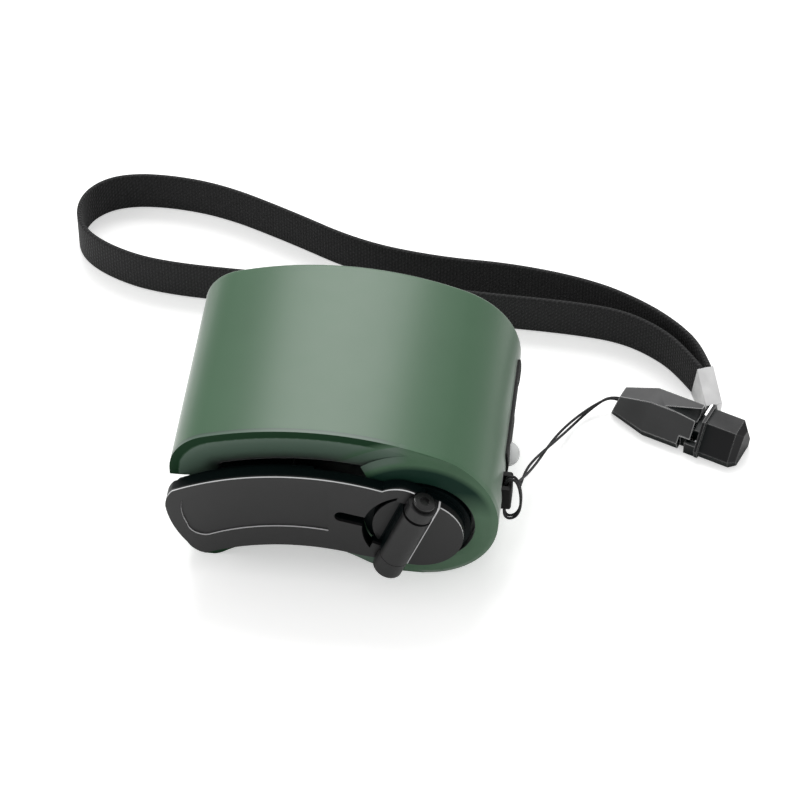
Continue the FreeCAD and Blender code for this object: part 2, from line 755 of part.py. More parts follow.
def arm_outline():
    """The arm's outline: a curved paddle that ends in two horns on the hinge line."""
    upper = hinge_point(upper_ear_high(), 0, 0)
    lower = hinge_point(lower_ear_low(), 0, 0)
    lower_side = hinge_point(lower_ear_low(), KNUCKLE_RADIUS, 0)
    shoulder = xz(10.6, 29.9)
    tip_top = xz(-32.9, 24.4)
    tip_side = xz(-34.49, 19.41)
    heel_left = xz(-28.66, 6.97)
    heel_right = xz(-25.98, 6.37)
    belly_right = xz(5.5, 9.9)
    return Part.Wire(
        [
            Part.Arc(upper, xz(15.2, 30.9), shoulder).toShape(),
            Part.Arc(shoulder, xz(-12.0, 31.4), tip_top).toShape(),
            Part.Arc(tip_top, xz(-34.2, 22.0), tip_side).toShape(),
            Part.Arc(tip_side, xz(-32.58, 12.72), heel_left).toShape(),
            Part.Arc(heel_left, xz(-27.43, 6.23), heel_right).toShape(),
            Part.Arc(heel_right, xz(-10.55, 10.86), belly_right).toShape(),
            Part.LineSegment(belly_right, lower_side).toShape(),
            Part.LineSegment(lower_side, lower).toShape(),
            Part.LineSegment(lower, upper).toShape(),
        ]
    )


def panel_outline():
    """The shallow sunk panel on the arm's face."""
    low_right = xz(-0.6, 16.45)
    low_left = xz(-25.7, 11.8)
    side_low = xz(-30.2, 14.66)
    high_left = xz(-31.0, 22.0)
    high_right = xz(-0.6, 28.4)
    return Part.Wire(
        [
            Part.Arc(low_right, xz(-12.5, 16.25), low_left).toShape(),
            Part.Arc(low_left, xz(-28.4, 12.0), side_low).toShape(),
            Part.Arc(side_low, xz(-31.2, 18.4), high_left).toShape(),
            Part.Arc(high_left, xz(-14.0, 28.4), high_right).toShape(),
            Part.LineSegment(high_right, low_right).toShape(),
        ]
    )


def crank_arm():
    plate = carry(arm_outline(), ARM_FACE_Y, ARM_BACK_Y)
    window = rod(HUB_X, HUB_Z, ARM_FACE_Y - 1, ARM_BACK_Y + 1, WINDOW_RADIUS)
    low = KNUCKLE_LOW - 0.05
    far = 20
    near_y = ARM_FACE_Y - 2
    back_y = ARM_BACK_Y + 2
    strip = hinge_box(low, upper_ear_low() - 0.05, -far, far, near_y, back_y)
    plate = plate.cut(window.common(strip))
    upper_keep = hinge_box(low - 8, far, WEB_WIDTH, far, near_y, back_y)
    plate = plate.cut(window.common(upper_keep))
    plate = plate.cut(keyhole())
    plate = plate.cut(carry(panel_outline(), ARM_FACE_Y - 1, ARM_FACE_Y + PANEL_DEPTH))
    pad = carry(arm_outline().makeOffset2D(-1.2), ARM_BACK_Y - 0.1, PAD_BACK_Y)
    pad = pad.common(block(-60, PAD_RIGHT_X, -60, 0, 0, 60))
    upper_ear = hinge_rod(upper_ear_low(), upper_ear_high(), UPPER_EAR_RADIUS)
    lower_ear = hinge_rod(lower_ear_low(), lower_ear_high(), KNUCKLE_RADIUS)
    arm = fuse(plate, pad, upper_ear, lower_ear)
    bore = HINGE_PIN_RADIUS + RUN_FIT
    arm = arm.cut(hinge_rod(lower_ear_low() + 0.9, upper_ear_high() + 1, bore))
    head_room = hinge_rod(upper_ear_high(), upper_ear_high() + 4, PIN_HEAD_RADIUS + EAR_CLEARANCE)
    arm = arm.cut(head_room)
    arm = arm.cut(grip_pocket())
    return arm.cut(pivot_rod(PIVOT_PIN_RADIUS, PIVOT_PIN_LENGTH))


def keyhole():
    """A slot with a round end that opens into the hub's window."""
    centre = xz(HUB_X, HUB_Z)
    way = unit(centre - KEYHOLE_LEFT)
    side = xz(-way.z, way.x) * (KEYHOLE_WIDTH / 2)
    far = KEYHOLE_LEFT + way * 6
    start = KEYHOLE_LEFT
    corners = [start + side, far + side, far - side, start - side, start + side]
    slot = carry(Part.makePolygon(corners), ARM_FACE_Y - 1, ARM_BACK_Y + 1)
    end = rod(KEYHOLE_LEFT.x, KEYHOLE_LEFT.z, ARM_FACE_Y - 1, ARM_BACK_Y + 1, KEYHOLE_WIDTH / 2)
    return fuse(slot, end)


# ---------------------------------------------------------------- grip


def grip_along():
    turn = math.radians(GRIP_ANGLE)
    return xz(math.cos(turn), math.sin(turn))


def grip_across():
    turn = math.radians(GRIP_ANGLE)
    return xz(-math.sin(turn), math.cos(turn))


def grip_point(along, across=0.0, y=None):
    base = xz(GRIP_PIVOT_X, GRIP_PIVOT_Z) + grip_along() * along + grip_across() * across
    return Vector(base.x, GRIP_Y if y is None else y, base.z)


def grip_rod(along_from, along_to, radius):
    return Part.makeCylinder(radius, along_to - along_from, grip_point(along_from), grip_along())


def grip_box(along_from, along_to, half_width, y_from, y_to):
    corners = [
        grip_point(along_from, -half_width, y_from),
        grip_point(along_to, -half_width, y_from),
        grip_point(along_to, half_width, y_from),
        grip_point(along_from, half_width, y_from),
        grip_point(along_from, -half_width, y_from),
    ]
    return Part.Face(Part.makePolygon(corners)).extrude(Vector(0, y_to - y_from, 0))


def pivot_rod(radius, length):
    start = grip_point(0, -length / 2)
    return Part.makeCylinder(radius, length, start, grip_across())


def grip_end():
    return GRIP_BLOCK_LENGTH + GRIP_END_GAP * 2 + GRIP_LENGTH


def grip_pocket():
    low = -(GRIP_RADIUS + GRIP_GAP)
    high = grip_end() + GRIP_HEAD_LENGTH + GRIP_GAP
    half = GRIP_BLOCK_WIDTH / 2 + GRIP_GAP
    return grip_box(low, high, half, GRIP_Y - GRIP_RADIUS - GRIP_GAP, PAD_BACK_Y + 1)


def grip_block():
    half = GRIP_BLOCK_WIDTH / 2
    body = grip_box(0, GRIP_BLOCK_LENGTH, half, GRIP_Y - GRIP_RADIUS, GRIP_Y + GRIP_RADIUS)
    body = fuse(body, pivot_rod(GRIP_RADIUS, GRIP_BLOCK_WIDTH))
    body = body.cut(pivot_rod(PIVOT_PIN_RADIUS + RUN_FIT, GRIP_BLOCK_WIDTH + 2))
    return body.cut(grip_rod(1.4, GRIP_BLOCK_LENGTH + 1, GRIP_AXLE_RADIUS))


def grip_axle():
    shank = grip_rod(1.4, grip_end(), GRIP_AXLE_RADIUS)
    return fuse(shank, grip_rod(grip_end() - 0.01, grip_end() + GRIP_HEAD_LENGTH, GRIP_HEAD_RADIUS))


def grip_sleeve():
    start = GRIP_BLOCK_LENGTH + GRIP_END_GAP
    sleeve = grip_rod(start, start + GRIP_LENGTH, GRIP_RADIUS)
    sleeve = sleeve.makeFillet(0.4, [e for e in sleeve.Edges if e.Length > GRIP_RADIUS * 6])
    return sleeve.cut(grip_rod(start - 1, start + GRIP_LENGTH + 1, GRIP_AXLE_RADIUS + 0.05))


def pivot_pin():
    return pivot_rod(PIVOT_PIN_RADIUS, PIVOT_PIN_LENGTH)


# ---------------------------------------------------------------- gears


def polar_point(centre, radius, angle):
    return xz(centre[0] + radius * math.cos(angle), centre[1] + radius * math.sin(angle))


def flank_point(centre, base_radius, radius, half_angle_at_base, side, middle):
    """A point of an involute flank at that radius, for a tooth whose middle is at angle middle."""
    roll = math.sqrt(max((radius / base_radius) ** 2 - 1, 0))
    turn = half_angle_at_base - (roll - math.atan(roll))
    return polar_point(centre, radius, middle + side * turn)


def gear_wire(teeth, centre, phase):
    """An involute gear's outline: each flank is one arc through three of its points."""
    pitch = GEAR_MODULE * teeth / 2
    base = pitch * math.cos(math.radians(PRESSURE_ANGLE))
    tip = pitch + GEAR_MODULE
    root = pitch - 1.25 * GEAR_MODULE
    low = max(base, root + 0.05)
    pressure = math.radians(PRESSURE_ANGLE)
    half = math.pi / (2 * teeth) - GEAR_BACKLASH / (2 * pitch) + math.tan(pressure) - pressure
    mean = (low + tip) / 2
    edges = []
    last_foot = None
    first_foot = None
    for i in range(teeth):
        middle = phase + 2 * math.pi * i / teeth
        rising = [flank_point(centre, base, r, half, -1, middle) for r in (low, mean, tip)]
        falling = [flank_point(centre, base, r, half, 1, middle) for r in (tip, mean, low)]
        foot_start = polar_point(centre, root, middle - half)
        foot_end = polar_point(centre, root, middle + half)
        if last_foot is None:
            first_foot = foot_start
        else:
            edges.append(Part.LineSegment(last_foot, foot_start).toShape())
        edges.append(Part.LineSegment(foot_start, rising[0]).toShape())
        edges.append(Part.Arc(*rising).toShape())
        crown = polar_point(centre, tip, middle)
        edges.append(Part.Arc(rising[2], crown, falling[0]).toShape())
        edges.append(Part.Arc(*falling).toShape())
        edges.append(Part.LineSegment(falling[2], foot_end).toShape())
        last_foot = foot_end
    edges.append(Part.LineSegment(last_foot, first_foot).toShape())
    return Part.Wire(edges)


def gear(teeth, centre, y_from, phase, bore):
    wheel = carry(gear_wire(teeth, centre, phase), y_from, y_from + GEAR_FACE)
    return wheel.cut(rod(centre[0], centre[1], y_from - 1, y_from + GEAR_FACE + 1, bore))


def meshing_phase(teeth, other_teeth, from_centre, to_centre, phase):
    """The phase of the other gear that puts one of its gaps against a tooth."""
    way = math.atan2(to_centre[1] - from_centre[1], to_centre[0] - from_centre[0])
    return way + math.pi - teeth / other_teeth * (phase - way) + math.pi / other_teeth


def layer_y(index):
    start = FRONT_PLATE_Y + PLATE_THICKNESS + GEAR_START_GAP
    return start + index * (GEAR_FACE + GEAR_LAYER_GAP)


def rear_plate_y():
    return layer_y(2) + GEAR_FACE + PLATE_GAP_END


def gear_phases():
    crank, idler_a, idler_b, rotor = gear_positions()
    a_phase = meshing_phase(CRANK_TEETH, PINION_TEETH, crank, idler_a, 0.0)
    b_phase = meshing_phase(IDLER_TEETH, PINION_TEETH, idler_a, idler_b, a_phase)
    rotor_phase = meshing_phase(IDLER_TEETH, ROTOR_TEETH, idler_b, rotor, b_phase)
    return a_phase, b_phase, rotor_phase


def crank_gear():
    crank = gear_positions()[0]
    wheel = gear(CRANK_TEETH, crank, layer_y(0), 0.0, SHAFT_RADIUS)
    boss = rod(crank[0], crank[1], layer_y(0) + GEAR_FACE - 0.1, layer_y(2), GEAR_HUB_RADIUS)
    boss = boss.cut(rod(crank[0], crank[1], -50, 50, SHAFT_RADIUS))
    for turn in range(0, 360, 60):
        x, z = step_from(crank, 8.6, turn)
        wheel = wheel.cut(rod(x, z, -50, 50, 2.6))
    return fuse(wheel, boss)


def idler(centre, layer, phase):
    """A compound wheel: a small pinion in one layer, a large wheel in the next."""
    bore = AXLE_RADIUS + BUSH_FIT
    pinion = gear(PINION_TEETH, centre, layer_y(layer), phase, bore)
    wheel = gear(IDLER_TEETH, centre, layer_y(layer + 1), phase, bore)
    neck_start = layer_y(layer) + GEAR_FACE - 0.1
    neck = rod(centre[0], centre[1], neck_start, layer_y(layer + 1) + 0.1, 2.1)
    neck = neck.cut(rod(centre[0], centre[1], -50, 50, bore))
    return fuse(pinion, neck, wheel)


def idler_axle(centre):
    return rod(centre[0], centre[1], FRONT_PLATE_Y, rear_plate_y() + PLATE_THICKNESS, AXLE_RADIUS)


def link(first, second, radius, y_from, y_to):
    """A flat bar with round ends between two points."""
    a = xz(*first)
    b = xz(*second)
    way = unit(b - a)
    side = xz(-way.z, way.x) * radius
    bar = carry(Part.makePolygon([a + side, b + side, b - side, a - side, a + side]), y_from, y_to)
    ends = [rod(p[0], p[1], y_from, y_to, radius) for p in (first, second)]
    return fuse(bar, *ends)


def gear_plate(y_from, bore_radius):
    """One plate of the gear box, with a lobe for each axle and each pillar."""
    y_to = y_from + PLATE_THICKNESS
    crank, idler_a, idler_b, rotor = gear_positions()
    pillars = pillar_positions()
    pairs = [(crank, idler_a), (idler_a, idler_b), (idler_b, rotor)]
    pairs += [(idler_a, pillars[0]), (idler_a, pillars[1]), (idler_a, pillars[2])]
    bars = [link(a, b, PLATE_LINK_RADIUS, y_from, y_to) for a, b in pairs]
    plate = fuse(bars[0], *bars[1:], rod(rotor[0], rotor[1], y_from, y_to, CAN_RADIUS - 0.6))
    plate = fuse(plate, rod(crank[0], crank[1], y_from, y_to, 4.2))
    for x, z in pillars:
        plate = plate.cut(rod(x, z, y_from - 1, y_to + 1, PILLAR_BORE))
    for x, z in (idler_a, idler_b):
        plate = plate.cut(rod(x, z, y_from - 1, y_to + 1, AXLE_RADIUS))
    plate = plate.cut(rod(crank[0], crank[1], y_from - 1, y_to + 1, bore_radius))
    return plate.cut(rod(rotor[0], rotor[1], y_from - 1, y_to + 1, GENERATOR_BOSS_RADIUS + 0.02))


def gear_pillars():
    start = FRONT_PLATE_Y + PLATE_THICKNESS
    pillars = []
    for x, z in pillar_positions():
        pillar = rod(x, z, start, rear_plate_y(), PILLAR_RADIUS)
        pillars.append(pillar.cut(rod(x, z, start - 1, rear_plate_y() + 1, PILLAR_BORE)))
    return pillars


def plate_screws():
    seat = rear_plate_y() + PLATE_THICKNESS
    tip = FRONT_PLATE_Y - 4
    radius = PLATE_SCREW_RADIUS
    head = PLATE_SCREW_HEAD
    return [screw(x, z, tip, seat, radius, head, 0.8) for x, z in pillar_positions()]


def shaft_bush(y_from, y_to, flange_front):
    """A flanged bronze bush for the crank shaft."""
    bore = SHAFT_RADIUS + BUSH_FIT
    body = rod(HUB_X, HUB_Z, y_from, y_to, BUSH_RADIUS)
    flange_y = y_from if flange_front else y_to - BUSH_FLANGE
    body = fuse(body, rod(HUB_X, HUB_Z, flange_y, flange_y + BUSH_FLANGE, BUSH_FLANGE_RADIUS))
    return body.cut(rod(HUB_X, HUB_Z, y_from - 1, y_to + 1, bore))


def front_bush():
    back = FRONT_Y + BAY_DEPTH + COVER_FLOOR
    return shaft_bush(HUB_RECESS_Y + 0.1, back + BUSH_FLANGE, False)


def rear_bush():
    start = rear_plate_y() - BUSH_FLANGE
    return shaft_bush(start, rear_plate_y() + PLATE_THICKNESS, True)


def crank_shaft():
    back = rear_plate_y() + PLATE_THICKNESS + SHAFT_TAIL
    return rod(HUB_X, HUB_Z, ARM_BACK_Y - 0.3, back, SHAFT_RADIUS)


# ---------------------------------------------------------------- generator


def can_start():
    return rear_plate_y() + PLATE_THICKNESS


def generator_can():
    x, z = gear_positions()[3]
    start = can_start()
    can = rod(x, z, start, start + CAN_LENGTH, CAN_RADIUS)
    can = can.cut(rod(x, z, start + CAN_WALL, start + CAN_LENGTH - CAN_WALL, CAN_RADIUS - CAN_WALL))
    bore = ROTOR_SHAFT_RADIUS + BUSH_FIT
    front_boss = rod(x, z, start - GENERATOR_BOSS, start + CAN_WALL + 0.6, GENERATOR_BOSS_RADIUS)
    back = start + CAN_LENGTH
    back_boss = rod(x, z, back - CAN_WALL - 0.6, back + GENERATOR_BOSS, GENERATOR_BOSS_RADIUS)
    can = fuse(can, front_boss, back_boss)
    return can.cut(rod(x, z, start - 5, back + 5, bore))


def generator_magnets():
    x, z = gear_positions()[3]
    start = can_start() + CAN_WALL + 1.0
    outer = CAN_RADIUS - CAN_WALL - 0.05
    ring = rod(x, z, start, start + ROTOR_LENGTH, outer)
    ring = ring.cut(rod(x, z, start - 1, start + ROTOR_LENGTH + 1, outer - MAGNET_WALL))
    slit = block(x - 20, x + 20, -50, 50, z - 1.2, z + 1.2)
    return ring.cut(slit).Solids


def generator_rotor():
    """The wound core: a slotted drum."""
    x, z = gear_positions()[3]
    start = can_start() + CAN_WALL + 1.0
    core = rod(x, z, start, start + ROTOR_LENGTH, ROTOR_RADIUS)
    for i in range(ROTOR_SLOTS):
        turn = 360.0 * i / ROTOR_SLOTS
        near = step_from((x, z), 2.6, turn)
        far = step_from((x, z), 9, turn)
        core = core.cut(link(near, far, 0.7, start - 1, start + ROTOR_LENGTH + 1))
    return core.cut(rod(x, z, start - 1, start + ROTOR_LENGTH + 1, ROTOR_SHAFT_RADIUS))


def rotor_shaft():
    x, z = gear_positions()[3]
    return rod(x, z, layer_y(2) - 0.4, can_start() + CAN_LENGTH + GENERATOR_BOSS, ROTOR_SHAFT_RADIUS)


def rotor_pinion():
    rotor_phase = gear_phases()[2]
    return gear(ROTOR_TEETH, gear_positions()[3], layer_y(2), rotor_phase, ROTOR_SHAFT_RADIUS)


# ---------------------------------------------------------------- port end


def slot_block(x_from, x_to, grow):
    low_y = PORT_SLOT_Y - PORT_SLOT_WIDTH / 2 - grow
    high_y = PORT_SLOT_Y + PORT_SLOT_WIDTH / 2 + grow
    low_z = PORT_SLOT_Z - PORT_SLOT_HEIGHT / 2 - grow
    high_z = PORT_SLOT_Z + PORT_SLOT_HEIGHT / 2 + grow
    return block(x_from, x_to, low_y, high_y, low_z, high_z)


def port_plate():
    """A thin plate that follows the end wall, with a plug behind it."""
    plate = block(
        PORT_PLATE_X - PORT_PLATE_REACH,
        PORT_PLATE_X,
        PORT_PLATE_LOW_Y,
        PORT_PLATE_HIGH_Y,
        PORT_PLATE_LOW_Z,
        PORT_PLATE_HIGH_Z,
    )
    edges = [e for e in plate.Edges if e.BoundBox.XLength > PORT_PLATE_REACH - 0.1]
    plate = plate.makeFillet(PORT_PLATE_ROUND, edges)
    plate = plate.cut(bean(-0.02, FRONT_Y, BACK_Y))
    plug = port_opening(-SPIGOT_GAP).common(block(PORT_PLUG_X, PORT_PLATE_X, -50, 50, 0, 50))
    plate = fuse(plate, plug).common(bean(-PORT_PLATE_RISE, FRONT_Y, BACK_Y))
    plate = plate.cut(slot_block(PORT_PLATE_X - 8, PORT_PLATE_X + 1, SOCKET_WALL))
    lens = LENS_RADIUS + 0.05
    hole = Part.makeCylinder(lens, 10, Vector(PORT_PLATE_X - 8, LED_Y, LED_Z), Vector(1, 0, 0))
    return plate.cut(hole)


def socket_front():
    return PORT_PLATE_X - SOCKET_SETBACK


def socket_back():
    return socket_front() - SOCKET_DEPTH


def usb_shell():
    shell = slot_block(socket_back(), socket_front(), SOCKET_WALL)
    return shell.cut(slot_block(socket_back() + 1, socket_front() + 1, 0))


def tongue_top():
    return PORT_SLOT_Z + PORT_SLOT_HEIGHT / 2 - 0.5


def usb_tongue():
    front = socket_front() - TONGUE_SETBACK
    back = socket_back() + 1
    low_y = PORT_SLOT_Y - PORT_SLOT_WIDTH / 2 + 0.6
    high_y = PORT_SLOT_Y + PORT_SLOT_WIDTH / 2 - 0.6
    top = tongue_top()
    tongue = block(back, front, low_y, high_y, top - TONGUE_THICKNESS, top)
    root = slot_block(back, back + 2.4, -0.02)
    return fuse(tongue, root)


def usb_contacts():
    top = tongue_top() - TONGUE_THICKNESS
    front = socket_front() - TONGUE_SETBACK - 1
    back = socket_back() + 3.4
    bars = []
    for i in range(4):
        y = PORT_SLOT_Y + (i - 1.5) * 2.3
        bars.append(block(back, front, y - 0.45, y + 0.45, top - 0.25, top))
    return bars


def board_top_z():
    return PORT_SLOT_Z - PORT_SLOT_HEIGHT / 2 - SOCKET_WALL


def board_bottom_z():
    return board_top_z() - BOARD_THICKNESS


def circuit_board():
    low = board_bottom_z()
    top = board_top_z()
    return block(BOARD_LEFT_X, BOARD_RIGHT_X, BOARD_LOW_Y, BOARD_HIGH_Y, low, top)


def capacitor():
    """An electrolytic can that hangs under the board."""
    low = board_bottom_z() - CAPACITOR_LENGTH
    x = BOARD_LEFT_X + CAPACITOR_RADIUS + 0.4
    y = BOARD_LOW_Y + CAPACITOR_RADIUS + 0.2
    can = Part.makeCylinder(CAPACITOR_RADIUS, CAPACITOR_LENGTH, Vector(x, y, low))
    groove = Part.makeTorus(CAPACITOR_RADIUS + 0.15, 0.25, Vector(x, y, low + 4.0))
    return can.cut(groove)


def rectifier_diodes():
    """Four small diodes under the board."""
    parts = []
    low_y = BOARD_HIGH_Y - 7.2
    for i in range(4):
        y = low_y + i * DIODE_PITCH
        start = Vector(BOARD_LEFT_X + 0.4, y, board_bottom_z() - DIODE_RADIUS)
        parts.append(Part.makeCylinder(DIODE_RADIUS, DIODE_LENGTH, start, Vector(1, 0, 0)))
    return parts


def regulator_chip():
    low = board_bottom_z() - CHIP_HEIGHT
    left = BOARD_LEFT_X + 4.6
    low_y = BOARD_HIGH_Y - 6.6
    return block(left, left + 3.4, low_y, low_y + 4.6, low, board_bottom_z())


def end_rod(x_from, x_to, radius):
    """A cylinder along X on the lamp's axis."""
    return Part.makeCylinder(radius, x_to - x_from, Vector(x_from, LED_Y, LED_Z), Vector(1, 0, 0))


def led_lens():
    """A clear domed cap, hollow behind for the lamp."""
    tube = end_rod(PORT_PLUG_X, PORT_PLATE_X, LENS_RADIUS)
    reach = (LENS_RADIUS**2 + LENS_RISE**2) / (2 * LENS_RISE)
    ball = Part.makeSphere(reach, Vector(PORT_PLATE_X + LENS_RISE - reach, LED_Y, LED_Z))
    dome = ball.common(end_rod(PORT_PLATE_X - 0.05, PORT_PLATE_X + LENS_RISE + 1, LENS_RADIUS))
    hollow = end_rod(PORT_PLUG_X - 1, PORT_PLUG_X + LAMP_LENGTH + 0.1, LAMP_RADIUS + 0.1)
    return fuse(tube, dome).cut(hollow)


def led_lamp():
    return end_rod(PORT_PLUG_X, PORT_PLUG_X + LAMP_LENGTH, LAMP_RADIUS)


def led_board():
    """A small board that holds the lamp against its lens."""
    return block(
        PORT_PLUG_X - LED_BOARD_THICKNESS,
        PORT_PLUG_X,
        LED_Y - 2.0,
        LED_Y + LED_BOARD_HEIGHT / 2,
        LED_Z - LED_BOARD_HEIGHT / 2,
        LED_Z + LED_BOARD_HEIGHT / 2,
    )


def lanyard_eye():
    """A moulded lug in the end wall, with an upright hole for the string."""
    outer = EYE_WALL_X + EYE_OUT
    inner = EYE_WALL_X - EYE_IN
    low_y = EYE_Y - EYE_WIDTH / 2 + 0.05
    high_y = EYE_Y + EYE_WIDTH / 2 - 0.05
    low_z = EYE_Z - EYE_HEIGHT / 2 + 0.05
    high_z = EYE_Z + EYE_HEIGHT / 2 - 0.05
    body = block(inner, outer, low_y, high_y, low_z, high_z)
    edges = [e for e in body.Edges if e.BoundBox.XMin > outer - 0.01 and e.Length > 2]
    body = body.makeFillet(EYE_BAR * 0.6, edges)
    hole_x = outer - EYE_BAR - EYE_HOLE
    return body.cut(block(hole_x, outer - EYE_BAR, EYE_Y - 1.4, EYE_Y + 1.4, 0, EYE_Z * 2))


# ---------------------------------------------------------------- buckle


def buckle_along():
    turn = math.radians(BUCKLE_ANGLE)
    return Vector(math.cos(turn), math.sin(turn), 0)


def buckle_across():
    turn = math.radians(BUCKLE_ANGLE)
    return Vector(-math.sin(turn), math.cos(turn), 0)


def buckle_point(along, across, z):
    point = Vector(BUCKLE_X, BUCKLE_Y, z) + buckle_along() * along + buckle_across() * across
    return point


def section_wire(along, low, high, top, near_inset, far_inset, lean=0.0):
    """The buckle's cross-section: a low trapezium, whose top may lean along the buckle."""
    waist = STRAP_LIFT + (top - STRAP_LIFT) * BUCKLE_WAIST_SHARE
    waist_along = along + lean * BUCKLE_WAIST_SHARE
    points = [
        buckle_point(along, low + BUCKLE_FOOT_INSET, STRAP_LIFT),
        buckle_point(along, high - BUCKLE_FOOT_INSET, STRAP_LIFT),
        buckle_point(waist_along, high, waist),
        buckle_point(along + lean, high - far_inset, top),
        buckle_point(along + lean, low + near_inset, top),
        buckle_point(waist_along, low, waist),
    ]
    return Part.makePolygon(points + [points[0]])


def whole_section(along, shrink=0.0):
    """The buckle's full section, or one that is smaller all round."""
    return section_wire(
        along,
        BUCKLE_LOW + shrink,
        BUCKLE_HIGH - shrink,
        BUCKLE_HEIGHT - shrink,
        BUCKLE_NEAR_INSET,
        BUCKLE_FAR_INSET,
    )


def carry_along(wire, length):
    return Part.Face(wire).extrude(buckle_along() * length)


def prong(grow):
    middle = (BUCKLE_LOW + BUCKLE_HIGH) / 2
    half = PRONG_WIDTH / 2 + grow
    low_z = BUCKLE_HEIGHT / 2 - PRONG_HEIGHT / 2 - grow
    end = SOCKET_HALF_LENGTH + BUCKLE_GAP + 0.1
    start = end - BUCKLE_GAP - PRONG_LENGTH - grow
    corners = [
        buckle_point(start, middle - half, low_z),
        buckle_point(end, middle - half, low_z),
        buckle_point(end, middle + half, low_z),
        buckle_point(start, middle + half, low_z),
    ]
    face = Part.Face(Part.makePolygon(corners + [corners[0]]))
    return face.extrude(Vector(0, 0, PRONG_HEIGHT + grow * 2))


def thumb_slot():
    """A pointed scoop in the socket's top, widest at the gap."""
    end = SOCKET_HALF_LENGTH + 1
    start = buckle_point(THUMB_SLOT_START, THUMB_SLOT_NEAR, BUCKLE_HEIGHT + 0.1)
    way = buckle_point(end, THUMB_SLOT_FAR, BUCKLE_HEIGHT + 0.1) - start
    return Part.makeCone(0.02, THUMB_SLOT_RADIUS, way.Length, start, way)


def side_box(along_from, along_to, across_from, across_to, height):
    """An upright block in the buckle's own directions."""
    corners = [
        buckle_point(along_from, across_from, STRAP_LIFT),
        buckle_point(along_to, across_from, STRAP_LIFT),
        buckle_point(along_to, across_to, STRAP_LIFT),
        buckle_point(along_from, across_to, STRAP_LIFT),
    ]
    return Part.Face(Part.makePolygon(corners + [corners[0]])).extrude(Vector(0, 0, height))


def buckle_socket():
    nose = section_wire(
        NOSE_START,
        NOSE_LOW,
        NOSE_HIGH,
        NOSE_TOP,
        NOSE_NEAR_INSET,
        NOSE_FAR_INSET,
        NOSE_LEAN,
    )
    body = Part.makeLoft([nose, whole_section(NOSE_END)], True, True)
    body = fuse(body, carry_along(whole_section(NOSE_END), SOCKET_HALF_LENGTH - NOSE_END))
    body = body.cut(prong(PRONG_CLEARANCE))
    body = body.cut(thumb_slot())
    notch_start = SOCKET_HALF_LENGTH - NOTCH_LENGTH
    notch_end = SOCKET_HALF_LENGTH + 1
    inner = BUCKLE_LOW + NOTCH_DEPTH
    body = body.cut(side_box(notch_start, notch_end, BUCKLE_LOW - 1, inner, NOTCH_HEIGHT))
    middle = (BUCKLE_LOW + BUCKLE_HIGH) / 2
    hole_start = buckle_point(NOSE_START - 1, middle, BUCKLE_HEIGHT * STRING_HOLE_SHARE)
    hole_radius = STRING_RADIUS + STRING_HOLE_CLEARANCE
    return body.cut(Part.makeCylinder(hole_radius, 5.0, hole_start, buckle_along()))


def buckle_tongue():
    start = SOCKET_HALF_LENGTH + BUCKLE_GAP
    after = start + FLANGE_THICKNESS
    flange = carry_along(whole_section(start, -FLANGE_RISE), FLANGE_THICKNESS)
    end = after + BLOCK_LENGTH
    body = carry_along(whole_section(after), BLOCK_LENGTH - BLOCK_BEVEL)
    inner = whole_section(end - BLOCK_BEVEL)
    bevel = Part.makeLoft([inner, whole_section(end, BLOCK_BEVEL)], True, True)
    lug_low = BUCKLE_LOW + 0.2
    lug_start = SOCKET_HALF_LENGTH - LUG_REACH
    lug = side_box(lug_start, start + 0.1, lug_low, lug_low + LUG_WIDTH, NOTCH_HEIGHT - 0.6)
    return fuse(flange, body, bevel, lug, prong(0))


def gap_middle():
    return SOCKET_HALF_LENGTH + BUCKLE_GAP / 2


def strap_crimp(ribbon):
    """A folded sheet clip: it holds both strap ends and hooks into the buckle's gap."""
    tail = Vector(CRIMP_TAIL_X, CRIMP_TAIL_Y, 0)
    bend = buckle_point(gap_middle(), BUCKLE_HIGH + 1.4, 0)
    tip = buckle_point(gap_middle(), BUCKLE_HIGH - 2.4, 0)
    way = unit(bend - tail)
    side = Vector(-way.y, way.x, 0) * (CRIMP_THICKNESS / 2)
    low = Vector(0, 0, STRAP_LIFT)
    high = Vector(0, 0, STRAP_LIFT + STRAP_WIDTH)
    slope_end = Vector(0, 0, CRIMP_TAB_HIGH)
    corners = [
        tail - way * CRIMP_COVER + low - side,
        bend + low - side,
        bend + slope_end - side,
        tail + high - side,
    ]
    plate = Part.Face(Part.makePolygon(corners + [corners[0]])).extrude(side * 2)
    tab = flat_bar(bend, tip, CRIMP_TAB, CRIMP_TAB_LOW, CRIMP_TAB_HIGH)
    return fuse(plate.cut(ribbon), tab)


def flat_bar(start, end, thickness, z_low, z_high):
    """An upright plate between two points of the plan."""
    way = unit(Vector(end.x - start.x, end.y - start.y, 0))
    side = Vector(-way.y, way.x, 0) * (thickness / 2)
    low = Vector(0, 0, z_low)
    a = Vector(start.x, start.y, 0) + low
    b = Vector(end.x, end.y, 0) + low
    wire = Part.makePolygon([a + side, b + side, b - side, a - side, a + side])
    return Part.Face(wire).extrude(Vector(0, 0, z_high - z_low))


# ---------------------------------------------------------------- cords


